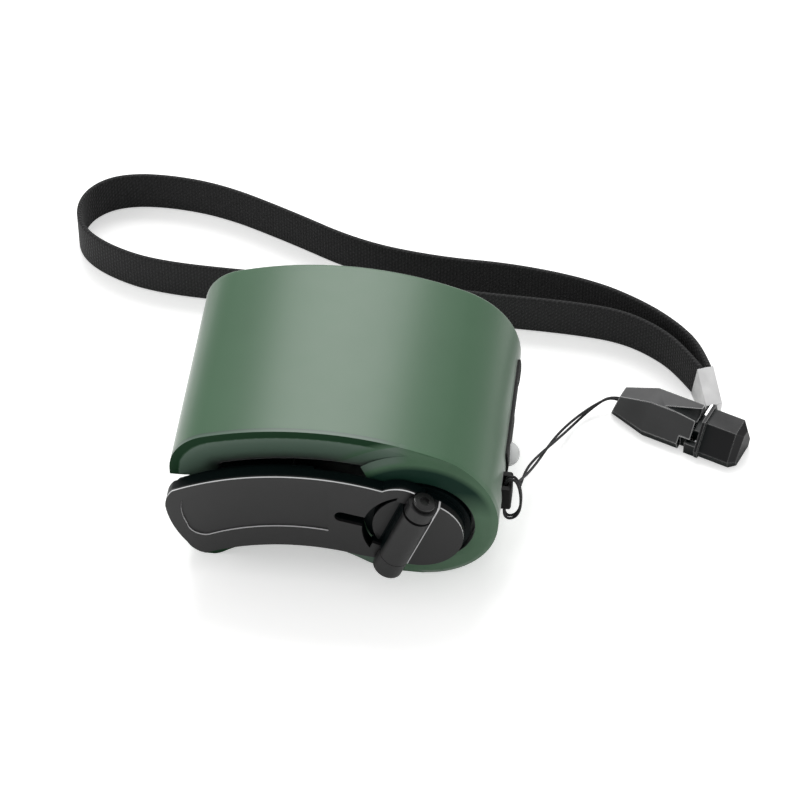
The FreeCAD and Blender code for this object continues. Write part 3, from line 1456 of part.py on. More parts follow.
def route_wire(points, label):
    """Straight runs joined by tangent arcs, each arc as large as its runs allow."""
    edges = []
    last = points[0]
    for before, corner, after in zip(points, points[1:], points[2:]):
        back = before - corner
        ahead = after - corner
        turn = math.pi - back.getAngle(ahead)
        setback = 0.45 * min(back.Length, ahead.Length)
        radius = setback / math.tan(turn / 2)
        print(f"{label} turn {math.degrees(turn):.0f} deg, radius {radius:.1f} mm")
        enter = corner + unit(back) * setback
        leave = corner + unit(ahead) * setback
        inward = unit(unit(back) + unit(ahead))
        centre = corner + inward * (radius / math.cos(turn / 2))
        middle = centre - inward * radius
        edges.append(Part.LineSegment(last, enter).toShape())
        edges.append(Part.Arc(enter, middle, leave).toShape())
        last = leave
    edges.append(Part.LineSegment(last, points[-1]).toShape())
    return Part.Wire(edges)


def strap():
    points = [Vector(x, y, STRAP_LIFT) for x, y in STRAP_ROUTE]
    path = route_wire(points, "strap")
    way = unit(points[1] - points[0])
    side = Vector(-way.y, way.x, 0) * (STRAP_THICKNESS / 2)
    up = Vector(0, 0, STRAP_WIDTH)
    a = points[0]
    section = Part.makePolygon([a + side, a - side, a - side + up, a + side + up, a + side])
    ribbon = path.makePipeShell([section], True, False)
    expected = path.Length * STRAP_WIDTH * STRAP_THICKNESS
    print(f"strap length {path.Length:.1f} mm, volume {ribbon.Volume:.1f} of {expected:.1f} mm3")
    return ribbon


def loop_wire(points):
    """A closed route: straight runs joined by tangent arcs at every corner."""
    count = len(points)
    corners = []
    for i, corner in enumerate(points):
        back = points[i - 1] - corner
        ahead = points[(i + 1) % count] - corner
        turn = math.pi - back.getAngle(ahead)
        setback = 0.45 * min(back.Length, ahead.Length)
        radius = setback / math.tan(turn / 2)
        print(f"hitch turn {math.degrees(turn):.0f} deg, radius {radius:.1f} mm")
        inward = unit(unit(back) + unit(ahead))
        middle = corner + inward * (radius / math.cos(turn / 2) - radius)
        corners.append((corner + unit(back) * setback, middle, corner + unit(ahead) * setback))
    edges = []
    for i, (enter, middle, leave) in enumerate(corners):
        edges.append(Part.Arc(enter, middle, leave).toShape())
        edges.append(Part.LineSegment(leave, corners[(i + 1) % count][0]).toShape())
    return Part.Wire(edges)


def string_hitch():
    """The string's own loop through the eye."""
    path = loop_wire([Vector(x, EYE_Y, z) for x, z in HITCH_ROUTE])
    start = path.Edges[0].valueAt(path.Edges[0].FirstParameter)
    way = path.Edges[0].tangentAt(path.Edges[0].FirstParameter)
    circle = Part.Wire([Part.Circle(start, way, HITCH_RADIUS).toShape()])
    return path.makePipeShell([circle], True, False)


def string():
    points = [Vector(*p) for p in STRING_ROUTE]
    path = route_wire(points, "string")
    way = unit(points[1] - points[0])
    circle = Part.Wire([Part.Circle(points[0], way, STRING_RADIUS).toShape()])
    cord = path.makePipeShell([circle], True, False)
    expected = path.Length * math.pi * STRING_RADIUS**2
    print(f"string length {path.Length:.1f} mm, volume {cord.Volume:.2f} of {expected:.2f} mm3")
    return cord


def rigid_nodes():
    """Every hard piece of the charger itself, by node name."""
    crank, idler_a, idler_b, rotor = gear_positions()
    a_phase, b_phase, rotor_phase = gear_phases()
    return {
        "housing_shell": housing_shell(),
        "front_cover": front_cover(),
        "back_cover": back_cover(),
        "cover_screws": cover_screws(),
        "port_plate": port_plate(),
        "usb_shell": usb_shell(),
        "usb_tongue": usb_tongue(),
        "usb_contacts": usb_contacts(),
        "circuit_board": circuit_board(),
        "smoothing_capacitor": capacitor(),
        "rectifier_diodes": rectifier_diodes(),
        "regulator_chip": regulator_chip(),
        "led_lens": led_lens(),
        "led_lamp": led_lamp(),
        "led_board": led_board(),
        "lanyard_eye": lanyard_eye(),
        "crank_hub": crank_hub(),
        "hinge_pin": hinge_pin(),
        "crank_arm": crank_arm(),
        "grip_block": grip_block(),
        "grip_axle": grip_axle(),
        "grip_sleeve": grip_sleeve(),
        "grip_pivot_pin": pivot_pin(),
        "crank_shaft": crank_shaft(),
        "front_bush": front_bush(),
        "rear_bush": rear_bush(),
        "front_gear_plate": gear_plate(FRONT_PLATE_Y, SHAFT_RADIUS + 0.4),
        "rear_gear_plate": gear_plate(rear_plate_y(), BUSH_RADIUS + 0.02),
        "gear_pillars": gear_pillars(),
        "plate_screws": plate_screws(),
        "crank_gear": crank_gear(),
        "idler_gear_a": idler(idler_a, 0, a_phase),
        "idler_gear_b": idler(idler_b, 1, b_phase),
        "idler_axle_a": idler_axle(idler_a),
        "idler_axle_b": idler_axle(idler_b),
        "generator_can": generator_can(),
        "generator_magnets": generator_magnets(),
        "generator_rotor": generator_rotor(),
        "rotor_shaft": rotor_shaft(),
        "rotor_pinion": rotor_pinion(),
    }


def cord_nodes():
    """The lanyard: its buckle, crimp, strap and string."""
    ribbon = strap()
    return {
        "buckle_socket": buckle_socket(),
        "buckle_tongue": buckle_tongue(),
        "strap_crimp": strap_crimp(ribbon),
        "lanyard_strap": ribbon,
        "lanyard_string": string(),
        "string_hitch": string_hitch(),
    }


def as_one(shape):
    return Part.makeCompound(shape) if isinstance(shape, list) else shape


def centring_shift(shapes):
    """Puts the origin under the middle of the charger's own bounding box."""
    box = Part.makeCompound(shapes).optimalBoundingBox(False)
    return Vector(-(box.XMin + box.XMax) / 2, -(box.YMin + box.YMax) / 2, -box.ZMin)


def save(name, shape, shift):
    if not shape.isValid():
        print("INVALID", name)
    shape.translate(shift)
    print(f"{name}: {len(shape.Solids)} solid(s), volume {shape.Volume:.1f} mm3")
    shape.exportStep(f"parts/{name}.step")


def main():
    rigid = {name: as_one(shape) for name, shape in rigid_nodes().items()}
    cords = {name: as_one(shape) for name, shape in cord_nodes().items()}
    shift = centring_shift(list(rigid.values()))
    print(f"shift {shift.x:.4f} {shift.y:.4f} {shift.z:.4f} mm")
    for name, shape in {**rigid, **cords}.items():
        save(name, shape, shift)


main()
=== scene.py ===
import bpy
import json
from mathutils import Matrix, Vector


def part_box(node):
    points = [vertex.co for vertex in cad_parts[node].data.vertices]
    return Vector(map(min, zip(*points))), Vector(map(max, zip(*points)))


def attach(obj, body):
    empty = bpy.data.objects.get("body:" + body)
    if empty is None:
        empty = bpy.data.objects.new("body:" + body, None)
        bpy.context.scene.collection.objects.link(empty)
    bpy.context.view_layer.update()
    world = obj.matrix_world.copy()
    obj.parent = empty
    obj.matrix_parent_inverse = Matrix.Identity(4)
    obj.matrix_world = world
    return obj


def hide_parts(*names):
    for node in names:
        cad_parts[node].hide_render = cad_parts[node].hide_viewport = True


bl_info = {
    "name": "Hand crank charger",
    "version": (1, 0, 0),
    "blender": (4, 5, 0),
    "location": "View3D > Sidebar > Charger",
    "description": "Dresses a hand crank phone charger and its wrist strap",
    "category": "Object",
}

import json
import math

import bmesh
import bpy
import numpy as np
from bpy.props import FloatProperty, FloatVectorProperty, PointerProperty
from mathutils import Matrix, Vector

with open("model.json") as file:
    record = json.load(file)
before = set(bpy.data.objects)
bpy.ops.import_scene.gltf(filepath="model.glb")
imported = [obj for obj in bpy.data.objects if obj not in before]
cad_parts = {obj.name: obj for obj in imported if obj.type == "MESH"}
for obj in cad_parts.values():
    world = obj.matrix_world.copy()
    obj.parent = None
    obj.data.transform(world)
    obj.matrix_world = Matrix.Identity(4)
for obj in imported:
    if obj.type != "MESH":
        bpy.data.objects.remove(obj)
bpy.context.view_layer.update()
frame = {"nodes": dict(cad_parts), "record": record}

MM = 0.001

# The housing's left tip and its back in its own frame.  SHIFT takes that frame to the scene.
HOUSING_TIP = -34.2 * MM
HOUSING_BACK = 24.5 * MM
SHIFT = np.array(
    [
        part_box("housing_shell")[0].x - HOUSING_TIP,
        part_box("back_cover")[1].y - HOUSING_BACK,
        0.0,
    ]
)

# Control points in millimetres in the housing's own frame: the strap's in plan, the string's in
# space, and the hitch's in the XZ plane.  Its two turns lie HITCH_SPREAD either side of HITCH_Y.
STRAP_ROUTE = [
    (73.3, 32.3),
    (69.5, 37.6),
    (64.0, 43.2),
    (55.0, 47.9),
    (43.0, 49.2),
    (24.0, 49.6),
    (-4.0, 50.6),
    (-30.0, 50.3),
    (-50.0, 51.0),
    (-61.0, 54.2),
    (-69.0, 59.5),
    (-71.5, 66.5),
    (-69.8, 73.2),
    (-64.0, 77.9),
    (-54.0, 79.3),
    (-40.0, 77.6),
    (-24.0, 71.2),
    (-6.0, 62.8),
    (12.0, 59.8),
    (30.0, 59.6),
    (48.0, 56.4),
    (60.0, 50.8),
    (67.9, 44.8),
    (72.7, 38.9),
    (74.9, 32.9),
]
STRING_ROUTE = [
    (37.4, -13.2, 18.0),
    (37.8, -8.0, 13.8),
    (38.7, -0.6, 9.4),
    (41.0, 8.0, 5.2),
    (44.0, 16.4, 2.3),
    (47.6, 22.8, 1.3),
    (51.0, 26.2, 2.2),
    (54.2, 27.9, 3.4),
    (56.9, 26.9, 3.4),
]
HITCH_ROUTE = [
    (34.65, 21.9),
    (36.9, 22.1),
    (38.0, 17.6),
    (38.0, 12.8),
    (37.0, 10.3),
    (35.4, 9.6),
    (34.5, 11.0),
    (34.65, 14.6),
]
HITCH_Y = -15.4
HITCH_SPREAD = 0.42

# Distances from the crank's axis: the collar's bore, the edge of its ring of painted shade and the
# radius that clears its block.
COLLAR_INNER = 11.85 * MM
RING_EDGE = 16.4 * MM
COLLAR_BLOCK = 20.6 * MM

# How far the crank's face stands in front of the casing, and how deep its hub's disc is.
ARM_RISE = 5.1 * MM
DISC_STEP = 1.7 * MM

# The keyhole's middle in the housing's own XZ plane, and the bands round it and round the hub in
# which the painted highlight line comes in.
KEYHOLE = (5.0 * MM, 21.3 * MM)
KEYHOLE_CLEAR = (5.5 * MM, 6.5 * MM)
HUB_CLEAR = (11.6 * MM, 12.0 * MM)

# The hinge's lean in degrees, and the painted highlight line and the painted shade line beside it,
# square to it from the axis.
HINGE_ANGLE = 70.0
BARREL_GLINT = -1.35 * MM
BARREL_SHADE = 5.2 * MM

# The painted highlight line: its start and end behind the face, how it fades, its colour, and the
# radius that finds the edges of the buckle for their painted highlights.
ARM_LINE = 0.05 * MM
HUB_LINE = 0.03 * MM
LINE_END = 0.36 * MM
LINE_FADE = 0.05 * MM
HIGHLIGHT_WHITE = (0.80, 0.80, 0.81)
EDGE_WIDTH = 0.45 * MM

# Painted shade in the bay, a painted dark reflection on the lip's rim, painted shade in the ring over
# the hub and a painted sheen on the rolled edge.
SHADE_BLACK = (0.0012, 0.0040, 0.0042)
RIM_REFLECTION_GREEN = (0.010, 0.038, 0.016)
RING_SHADE_GREEN = (0.008, 0.028, 0.019)
ROLL_SHEEN_GREEN = (0.082, 0.130, 0.098)

# A step in a mask that reads as sharp.
SHARP = 0.01 * MM

# The band that holds most of a noise's values, and the noise scales of the flow mottling and of
# the grain on the casing and the crank.
NOISE_BAND = (0.3, 0.7)
MOTTLE_SCALE = 60.0
CASING_GRAIN = 5000.0
CRANK_GRAIN = 4200.0

# Where the housing's foot stands in the camera's frame, from its top left corner, and the stage.
FOOT_IN_FRAME = (350.46 / 800.0, 478.59 / 800.0)
SENSOR_WIDTH = 36.0
TABLE_REACH = 2.0
TABLE_DROP = -0.02 * MM
TABLE_GLOW = 0.42
LAMP_SIZE = 0.50

# A copy's vertices are joined where they agree on a grid with this many steps in a metre, and
# faces that turn by less than FLAT_ANGLE, in degrees, become one before their edges are rounded.
MERGE_GRID = 1e7
FLAT_ANGLE = 0.3
ROUNDING_STEPS = 2
FINE_ROUNDING = 0.12 * MM
PIN_ROUNDING = 0.1 * MM

# Radius of the webbing's corners, as a share of its thickness.
STRAP_CORNER = 0.42


# ------------------------------------------------------------------ sizes


class CaseLook(bpy.types.PropertyGroup):
    """The painted casing."""

    colour: FloatVectorProperty(
        name="Casing colour",
        description="Base colour of the moulded casing",
        subtype="COLOR",
        size=3,
        min=0.0,
        max=1.0,
        default=(0.047, 0.112, 0.058),
    )
    roughness: FloatProperty(
        name="Casing roughness",
        description="How softly the casing reflects",
        min=0.0,
        max=1.0,
        default=0.36,
    )
    rounding: FloatProperty(
        name="Edge rounding",
        description="Radius that softens the casing's edges",
        subtype="DISTANCE",
        default=0.18 * MM,
    )


class CrankLook(bpy.types.PropertyGroup):
    """The crank, its arm and its grip."""

    colour: FloatVectorProperty(
        name="Crank colour",
        description="Base colour of the hub and the arm",
        subtype="COLOR",
        size=3,
        min=0.0,
        max=1.0,
        default=(0.010, 0.010, 0.0104),
    )
    roughness: FloatProperty(
        name="Crank roughness",
        description="How softly the arm reflects",
        min=0.0,
        max=1.0,
        default=0.38,
    )
    rounding: FloatProperty(
        name="Edge rounding",
        description="Radius that softens the arm's edges",
        subtype="DISTANCE",
        default=0.22 * MM,
    )


class StrapSizes(bpy.types.PropertyGroup):
    """The woven wrist strap."""

    width: FloatProperty(
        name="Strap width",
        description="Height of the webbing as it stands on its edge",
        subtype="DISTANCE",
        default=10.0 * MM,
    )
    thickness: FloatProperty(
        name="Strap thickness",
        description="Thickness of the webbing",
        subtype="DISTANCE",
        default=1.1 * MM,
    )
    lift: FloatProperty(
        name="Strap lift",
        description="Height of the webbing's lower edge over the table",
        subtype="DISTANCE",
        default=0.1 * MM,
    )
    colour: FloatVectorProperty(
        name="Strap colour",
        description="Colour of the yarn",
        subtype="COLOR",
        size=3,
        min=0.0,
        max=1.0,
        default=(0.0080, 0.0080, 0.0085),
    )


class StringSizes(bpy.types.PropertyGroup):
    """The thin twisted string between the eye and the buckle."""

    strand: FloatProperty(
        name="Strand radius",
        description="Radius of one strand",
        subtype="DISTANCE",
        default=0.29 * MM,
    )
    spread: FloatProperty(
        name="Strand spread",
        description="Distance of each strand from the string's middle",
        subtype="DISTANCE",
        default=0.42 * MM,
    )
    lay_length: FloatProperty(
        name="Lay length",
        description="Length in which the strands turn once round each other",
        subtype="DISTANCE",
        default=40.0 * MM,
    )
    lay_start: FloatProperty(
        name="Lay start",
        description="Where the strands stand round each other at the eye, in degrees",
        default=55.0,
    )


class StageSettings(bpy.types.PropertyGroup):
    """Camera and light."""

    heading: FloatProperty(
        name="Camera heading",
        description="How far the camera stands round towards the port end, in degrees",
        default=6.83,
    )
    pitch: FloatProperty(
        name="Camera pitch",
        description="How far the camera looks down, in degrees",
        default=46.8,
    )
    distance: FloatProperty(
        name="Camera distance",
        description="From the camera to the housing's foot",
        subtype="DISTANCE",
        default=738.3 * MM,
    )
    focal: FloatProperty(
        name="Focal length",
        description="In picture widths",
        default=3422.0 / 800.0,
    )
    key_power: FloatProperty(
        name="Key light",
        description="Power of the overhead soft box",
        subtype="POWER",
        default=4.4,
    )
    sky: FloatProperty(
        name="Sky",
        description="Strength of the even light from all round",
        default=0.62,
    )


# ------------------------------------------------------------------ meshes


def new_mesh_object(name, points, faces, uv=None):
    """A mesh from point and face arrays; uv holds one pair per face corner."""
    mesh = bpy.data.meshes.new(name)
    mesh.from_pydata(points.tolist(), [], faces.tolist())
    if uv is not None:
        layer = mesh.uv_layers.new(name="UVMap")
        layer.data.foreach_set("uv", np.asarray(uv, np.float32).ravel())
    mesh.update()
    mesh.polygons.foreach_set("use_smooth", np.ones(len(mesh.polygons), bool))
    piece = bpy.data.objects.new(name, mesh)
    bpy.context.scene.collection.objects.link(piece)
    return piece


def lengths_along(path):
    """The distance of each point of a path from its start, measured along the path."""
    step = np.linalg.norm(np.diff(path, axis=0), axis=1)
    return np.concatenate([[0], np.cumsum(step)])


def grid_faces(rows, columns, close_rows=False, close_columns=True):
    """Quads of a rows by columns grid of points, closed round either way."""
    row = np.arange(rows if close_rows else rows - 1)
    column = np.arange(columns if close_columns else columns - 1)
    i, j = np.meshgrid(row, column, indexing="ij")
    next_i = (i + 1) % rows
    next_j = (j + 1) % columns
    corners = [i * columns + j, i * columns + next_j, next_i * columns + next_j, next_i * columns + j]
    return np.stack(corners, -1).reshape(-1, 4)


def swept(name, path, side, up, outline, closed=False, uv_scale=1.0):
    """A solid swept along a path: point(s, t) = path(s) + x(t) side(s) + y(t) up(s), where
    (x, y) is the closed outline.  Flat caps close an open path.  UV holds the lengths along
    the path and round the outline, in metres times uv_scale."""
    rows = len(path)
    columns = len(outline)
    across = outline[None, :, :1] * side[:, None, :] + outline[None, :, 1:] * up[:, None, :]
    points = (path[:, None, :] + across).reshape(-1, 3)
    quads = grid_faces(rows, columns, closed)
    along = lengths_along(np.vstack([path, path[:1]]))
    around = lengths_along(np.vstack([outline, outline[:1]]))
    row = quads // columns
    column = quads % columns
    wrap_row = closed & (row == 0) & (row.max(axis=1, keepdims=True) == rows - 1)
    wrap_column = (column == 0) & (column.max(axis=1, keepdims=True) == columns - 1)
    u = np.where(wrap_row, along[-1], along[row])
    v = np.where(wrap_column, around[-1], around[column])
    uv = np.stack([u, v], -1).reshape(-1, 2) * uv_scale
    piece = new_mesh_object(name, points, quads, uv)
    if not closed:
        close_ends(piece, rows, columns)
    return piece


def close_ends(piece, rows, columns):
    """Adds a flat cap at each end of a swept solid."""
    build = bmesh.new()
    build.from_mesh(piece.data)
    build.verts.ensure_lookup_table()
    first = [build.verts[i] for i in range(columns)]
    last = [build.verts[(rows - 1) * columns + i] for i in range(columns)]
    build.faces.new(first)
    build.faces.new(last[::-1])
    bmesh.ops.recalc_face_normals(build, faces=build.faces)
    build.to_mesh(piece.data)
    build.free()


def join_pieces(pieces, name):
    """One object that holds the meshes of several."""
    build = bmesh.new()
    for piece in pieces:
        build.from_mesh(piece.data)
    bmesh.ops.recalc_face_normals(build, faces=build.faces)
    mesh = bpy.data.meshes.new(name)
    build.to_mesh(mesh)
    build.free()
    mesh.polygons.foreach_set("use_smooth", np.ones(len(mesh.polygons), bool))
    for piece in pieces:
        bpy.data.objects.remove(piece)
    whole = bpy.data.objects.new(name, mesh)
    bpy.context.scene.collection.objects.link(whole)
    return whole


def rounded_outline(width, height, corner, steps=5):
    """A rectangle with round corners about its middle: each corner is centre + corner radius
    times (cos, sin) over a quarter turn, anticlockwise."""
    turn = np.linspace(0, math.pi / 2, steps)
    arcs = []
    for i, (sx, sy) in enumerate(((1, 1), (-1, 1), (-1, -1), (1, -1))):
        centre = np.array([sx * (width / 2 - corner), sy * (height / 2 - corner)])
        angle = turn + i * math.pi / 2
        arcs.append(centre + corner * np.stack([np.cos(angle), np.sin(angle)], -1))
    return np.concatenate(arcs)


def circle_outline(radius, count=12):
    """A circle: point(turn) = radius (cos turn, sin turn)."""
    turn = np.arange(count) * 2 * math.pi / count
    return radius * np.stack([np.cos(turn), np.sin(turn)], -1)


def spline_line(name, points, cyclic=False):
    """Points along a smooth NURBS curve that has the given control points."""
    curve = bpy.data.curves.new(name, "CURVE")
    curve.dimensions = "3D"
    curve.resolution_u = 12
    spline = curve.splines.new("NURBS")
    spline.points.add(len(points) - 1)
    for control, place in zip(spline.points, points):
        control.co = (*place, 1.0)
    spline.order_u = 3
    spline.use_cyclic_u = cyclic
    spline.use_endpoint_u = not cyclic
    holder = bpy.data.objects.new(name, curve)
    mesh = bpy.data.meshes.new_from_object(holder)
    line = np.empty(len(mesh.vertices) * 3)
    mesh.vertices.foreach_get("co", line)
    bpy.data.meshes.remove(mesh)
    bpy.data.objects.remove(holder)
    bpy.data.curves.remove(curve)
    return line.reshape(-1, 3)


def unit_rows(vectors):
    """Each row over its own length."""
    return vectors / np.linalg.norm(vectors, axis=1, keepdims=True)


def across_path(path, up=(0, 0, 1)):
    """At each point of a path, the two unit vectors square to it: level, and the third."""
    along = unit_rows(np.gradient(path, axis=0))
    side = unit_rows(np.cross(np.broadcast_to(np.array(up, float), along.shape), along))
    return side, np.cross(along, side)


def placed_points(points):
    """Points in millimetres in the housing's own frame, as metres in the scene."""
    return np.array(points, float) * MM + SHIFT


# ------------------------------------------------------------------ CAD nodes


def merged_copy(node, name):
    """A copy of a CAD node's mesh with its loose triangles joined."""
    source = frame["nodes"][node].data
    co = np.empty(len(source.vertices) * 3)
    source.vertices.foreach_get("co", co)
    corner = np.empty(len(source.loops), int)
    source.loops.foreach_get("vertex_index", corner)
    keys = np.round(co.reshape(-1, 3) * MERGE_GRID).astype(np.int64)
    unique, index = np.unique(keys, axis=0, return_inverse=True)
    faces = index.ravel()[corner].reshape(-1, 3)
    whole = (faces != np.roll(faces, 1, axis=1)).all(axis=1)
    mesh = bpy.data.meshes.new(name)
    mesh.from_pydata((unique / MERGE_GRID).tolist(), [], faces[whole].tolist())
    mesh.update()
    return mesh


def dress(node, material, crease=32.0, rounding=0.0):
    """Stands a smooth-shaded copy of a CAD node in its place.  Its shading breaks at edges that
    turn by more than the crease, in degrees, and they are rounded by the rounding, if any."""
    mesh = merged_copy(node, node + "_surface")
    build = bmesh.new()
    build.from_mesh(mesh)
    if rounding:
        bmesh.ops.dissolve_limit(
            build,
            angle_limit=math.radians(FLAT_ANGLE),
            verts=build.verts,
            edges=build.edges,
            delimit={"NORMAL"},
        )
    for face in build.faces:
        face.smooth = True
    limit = math.radians(crease)
    for edge in build.edges:
        edge.smooth = len(edge.link_faces) == 2 and edge.calc_face_angle(0.0) < limit
    build.to_mesh(mesh)
    build.free()
    piece = bpy.data.objects.new(node + "_surface", mesh)
    bpy.context.scene.collection.objects.link(piece)
    if rounding:
        bevel = piece.modifiers.new("Soft edges", "BEVEL")
        bevel.width = rounding
        bevel.segments = ROUNDING_STEPS
        bevel.limit_method = "ANGLE"
        bevel.angle_limit = limit
        bevel.use_clamp_overlap = True
        bevel.harden_normals = True
    finish_piece(piece, material, body_of(node))
    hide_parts(node)
    return piece


def body_of(node):
    """The body that carries a CAD node."""
    for body, nodes in frame["record"]["behaviour"]["bodies"].items():
        if node in nodes:
            return body
    raise RuntimeError("no body holds " + node)


def hub_centre():
    """Where the crank's axis meets the XZ plane."""
    low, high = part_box("crank_shaft")
    return (low.x + high.x) / 2, (low.z + high.z) / 2


def finish_piece(piece, material, body):
    """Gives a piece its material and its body."""
    piece.data.materials.clear()
    piece.data.materials.append(material)
    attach(piece, body)
    return piece


# ------------------------------------------------------------------ materials


class Recipe:
    """A material under construction: its nodes, its shader and its Object coordinates."""

    def __init__(self, name, **sockets):
        self.material = bpy.data.materials.new(name)
        self.material.use_nodes = True
        self.tree = self.material.node_tree
        self.shader = self.tree.nodes["Principled BSDF"]
        for key, value in sockets.items():
            whole = (*value, 1.0) if isinstance(value, tuple) else value
            self.shader.inputs[key.replace("_", " ")].default_value = whole
        self.place = self.tree.nodes.new("ShaderNodeTexCoord")
        self.bumps = None

    def node(self, kind, **values):
        """A new node; each value goes to the input of that name, or else to the property."""
        made = self.tree.nodes.new(kind)
        for key, value in values.items():
            if key in made.inputs:
                made.inputs[key].default_value = value
            else:
                setattr(made, key, value)
        return made

    def link(self, start, end):
        """Joins an output socket to an input socket."""
        self.tree.links.new(start, end)

    def noise(self, scale, detail=3.0, roughness=0.5, source="Object", stretch=None):
        """Noise on the object's coordinates or its UV, stretched along an axis if asked."""
        texture = self.node("ShaderNodeTexNoise", Scale=scale, Detail=detail, Roughness=roughness)
        where = self.place.outputs[source]
        if stretch:
            mapping = self.node("ShaderNodeMapping", Scale=stretch)
            self.link(where, mapping.inputs["Vector"])
            where = mapping.outputs["Vector"]
        self.link(where, texture.inputs["Vector"])
        return texture.outputs["Fac"]

    def spread(self, signal, low, high, out_low=0.0, out_high=1.0):
        """Maps low to out_low and high to out_high, and holds the ends."""
        ramp = self.node("ShaderNodeMapRange")
        ramp.inputs["From Min"].default_value = low
        ramp.inputs["From Max"].default_value = high
        ramp.inputs["To Min"].default_value = out_low
        ramp.inputs["To Max"].default_value = out_high
        self.link(signal, ramp.inputs["Value"])
        return ramp.outputs["Result"]

    def colour_mix(self, signal, target):
        """Drives the base colour by a mix towards a colour, and returns the socket it starts from."""
        mix = self.node("ShaderNodeMix", data_type="RGBA")
        start, end = [socket for socket in mix.inputs if socket.type == "RGBA"]
        end.default_value = (*target, 1.0)
        self.link(signal, mix.inputs["Factor"])
        out = [socket for socket in mix.outputs if socket.type == "RGBA"][0]
        self.link(out, self.shader.inputs["Base Color"])
        return start

    def tint(self, signal, first, second):
        """The base colour goes from one colour to another with the signal."""
        self.colour_mix(signal, second).default_value = (*first, 1.0)

    def blend(self, signal, target):
        """Mixes the base colour as it stands towards another."""
        before = self.shader.inputs["Base Color"].links[0].from_socket
        self.link(before, self.colour_mix(signal, target))

    def mottle(self, colour, amount):
        """Slow flow marks: the base colour darker and lighter by an amount."""
        slow = self.noise(MOTTLE_SCALE, 2.0)
        self.tint(self.spread(slow, *NOISE_BAND), shade(colour, 1 - amount), shade(colour, 1 + amount))

    def along_axis(self, axis):
        """One of the Object coordinates, in metres."""
        split = self.node("ShaderNodeSeparateXYZ")
        self.link(self.place.outputs["Object"], split.inputs[0])
        return split.outputs[axis]

    def off_axis(self, centre_x, centre_z):
        """Distance from a line along Y, in metres."""
        level = self.node("ShaderNodeMapping", vector_type="POINT")
        level.inputs["Location"].default_value = (-centre_x, 0.0, -centre_z)
        level.inputs["Scale"].default_value = (1.0, 0.0, 1.0)
        self.link(self.place.outputs["Object"], level.inputs["Vector"])
        reach = self.node("ShaderNodeVectorMath", operation="LENGTH")
        self.link(level.outputs["Vector"], reach.inputs[0])
        return reach.outputs["Value"]

    def join(self, first, second, operation="MULTIPLY"):
        """Two masks in one: where both are one, or with MAXIMUM where either is."""
        joined = self.node("ShaderNodeMath", operation=operation)
        self.link(first, joined.inputs[0])
        self.link(second, joined.inputs[1])
        return joined.outputs["Value"]

    def edges(self, radius, colour, roughness):
        """Paints highlights on the convex and concave edges: a lighter colour and a smoother face where
        the rounded normal leans away from the true one, by the product of the two."""
        soft = self.node("ShaderNodeBevel", samples=4)
        soft.inputs["Radius"].default_value = radius
        sharp = self.node("ShaderNodeNewGeometry")
        match = self.node("ShaderNodeVectorMath", operation="DOT_PRODUCT")
        self.link(soft.outputs["Normal"], match.inputs[0])
        self.link(sharp.outputs["Normal"], match.inputs[1])
        glint = self.spread(match.outputs["Value"], 0.80, 0.97, 1.0, 0.0)
        self.blend(glint, colour)
        before = self.shader.inputs["Roughness"].links[0].from_socket
        mix = self.node("ShaderNodeMix", data_type="FLOAT")
        self.link(glint, mix.inputs["Factor"])
        self.link(before, mix.inputs["A"])
        mix.inputs["B"].default_value = roughness
        self.link(mix.outputs["Result"], self.shader.inputs["Roughness"])

    def shade_recesses(self, reach, colour):
        """Paints shade on the faces that look into a recess, by how much open sky is left within reach.
        """
        open_sky = self.node("ShaderNodeAmbientOcclusion", samples=8)
        open_sky.inputs["Distance"].default_value = reach
        self.blend(self.spread(open_sky.outputs["AO"], 0.78, 0.97, 1.0, 0.0), colour)

    def by_depth(self, front, start, end, low=0.0, high=1.0):
        """A mask along +Y from a front plane, from one depth to another."""
        return self.spread(self.along_axis("Y"), front + start, front + end, low, high)

    def along_way(self, way):
        """The Object coordinates measured along a unit vector, in metres."""
        part = self.node("ShaderNodeVectorMath", operation="DOT_PRODUCT")
        self.link(self.place.outputs["Object"], part.inputs[0])
        part.inputs[1].default_value = way
        return part.outputs["Value"]

    def bump(self, signal, distance):
        """Adds a bump of the signal's height to those before it."""
        bump = self.node("ShaderNodeBump", Strength=1.0, Distance=distance)
        self.link(signal, bump.inputs["Height"])
        if self.bumps:
            self.link(self.bumps, bump.inputs["Normal"])
        self.bumps = bump.outputs["Normal"]
        self.link(self.bumps, self.shader.inputs["Normal"])


def shade(colour, factor):
    """A colour times a factor, with no channel over one."""
    return tuple(min(1.0, c * factor) for c in colour)


def moulded(
    name,
    colour,
    roughness,
    grain=9000.0,
    depth=0.004,
    mottle=0.10,
    specular=0.5,
    edge=None,
    hollow=None,
    **glaze,
):
    """Moulded plastic: fine grain, its depth in millimetres, with flow mottling and changes of
    gloss, and if asked with painted highlights on the edges, painted shade in recesses and a coat or
    sheen."""
    recipe = Recipe(name, Base_Color=colour, Roughness=roughness, Specular_IOR_Level=specular, **glaze)
    recipe.mottle(colour, mottle)
    patches = recipe.noise(240.0, 4.0, 0.6)
    gloss = recipe.spread(patches, *NOISE_BAND, roughness - 0.35 * mottle, roughness + 0.45 * mottle)
    recipe.link(gloss, recipe.shader.inputs["Roughness"])
    # Painted shade in recesses, when a shade colour is given.
    if hollow:
        recipe.shade_recesses(2.5 * MM, hollow)
    # Painted highlights on the edges, when a highlight colour is given.
    if edge:
        recipe.edges(EDGE_WIDTH, edge, roughness * 0.6)
    recipe.bump(recipe.noise(grain, 2.0), depth * MM)
    return recipe.material


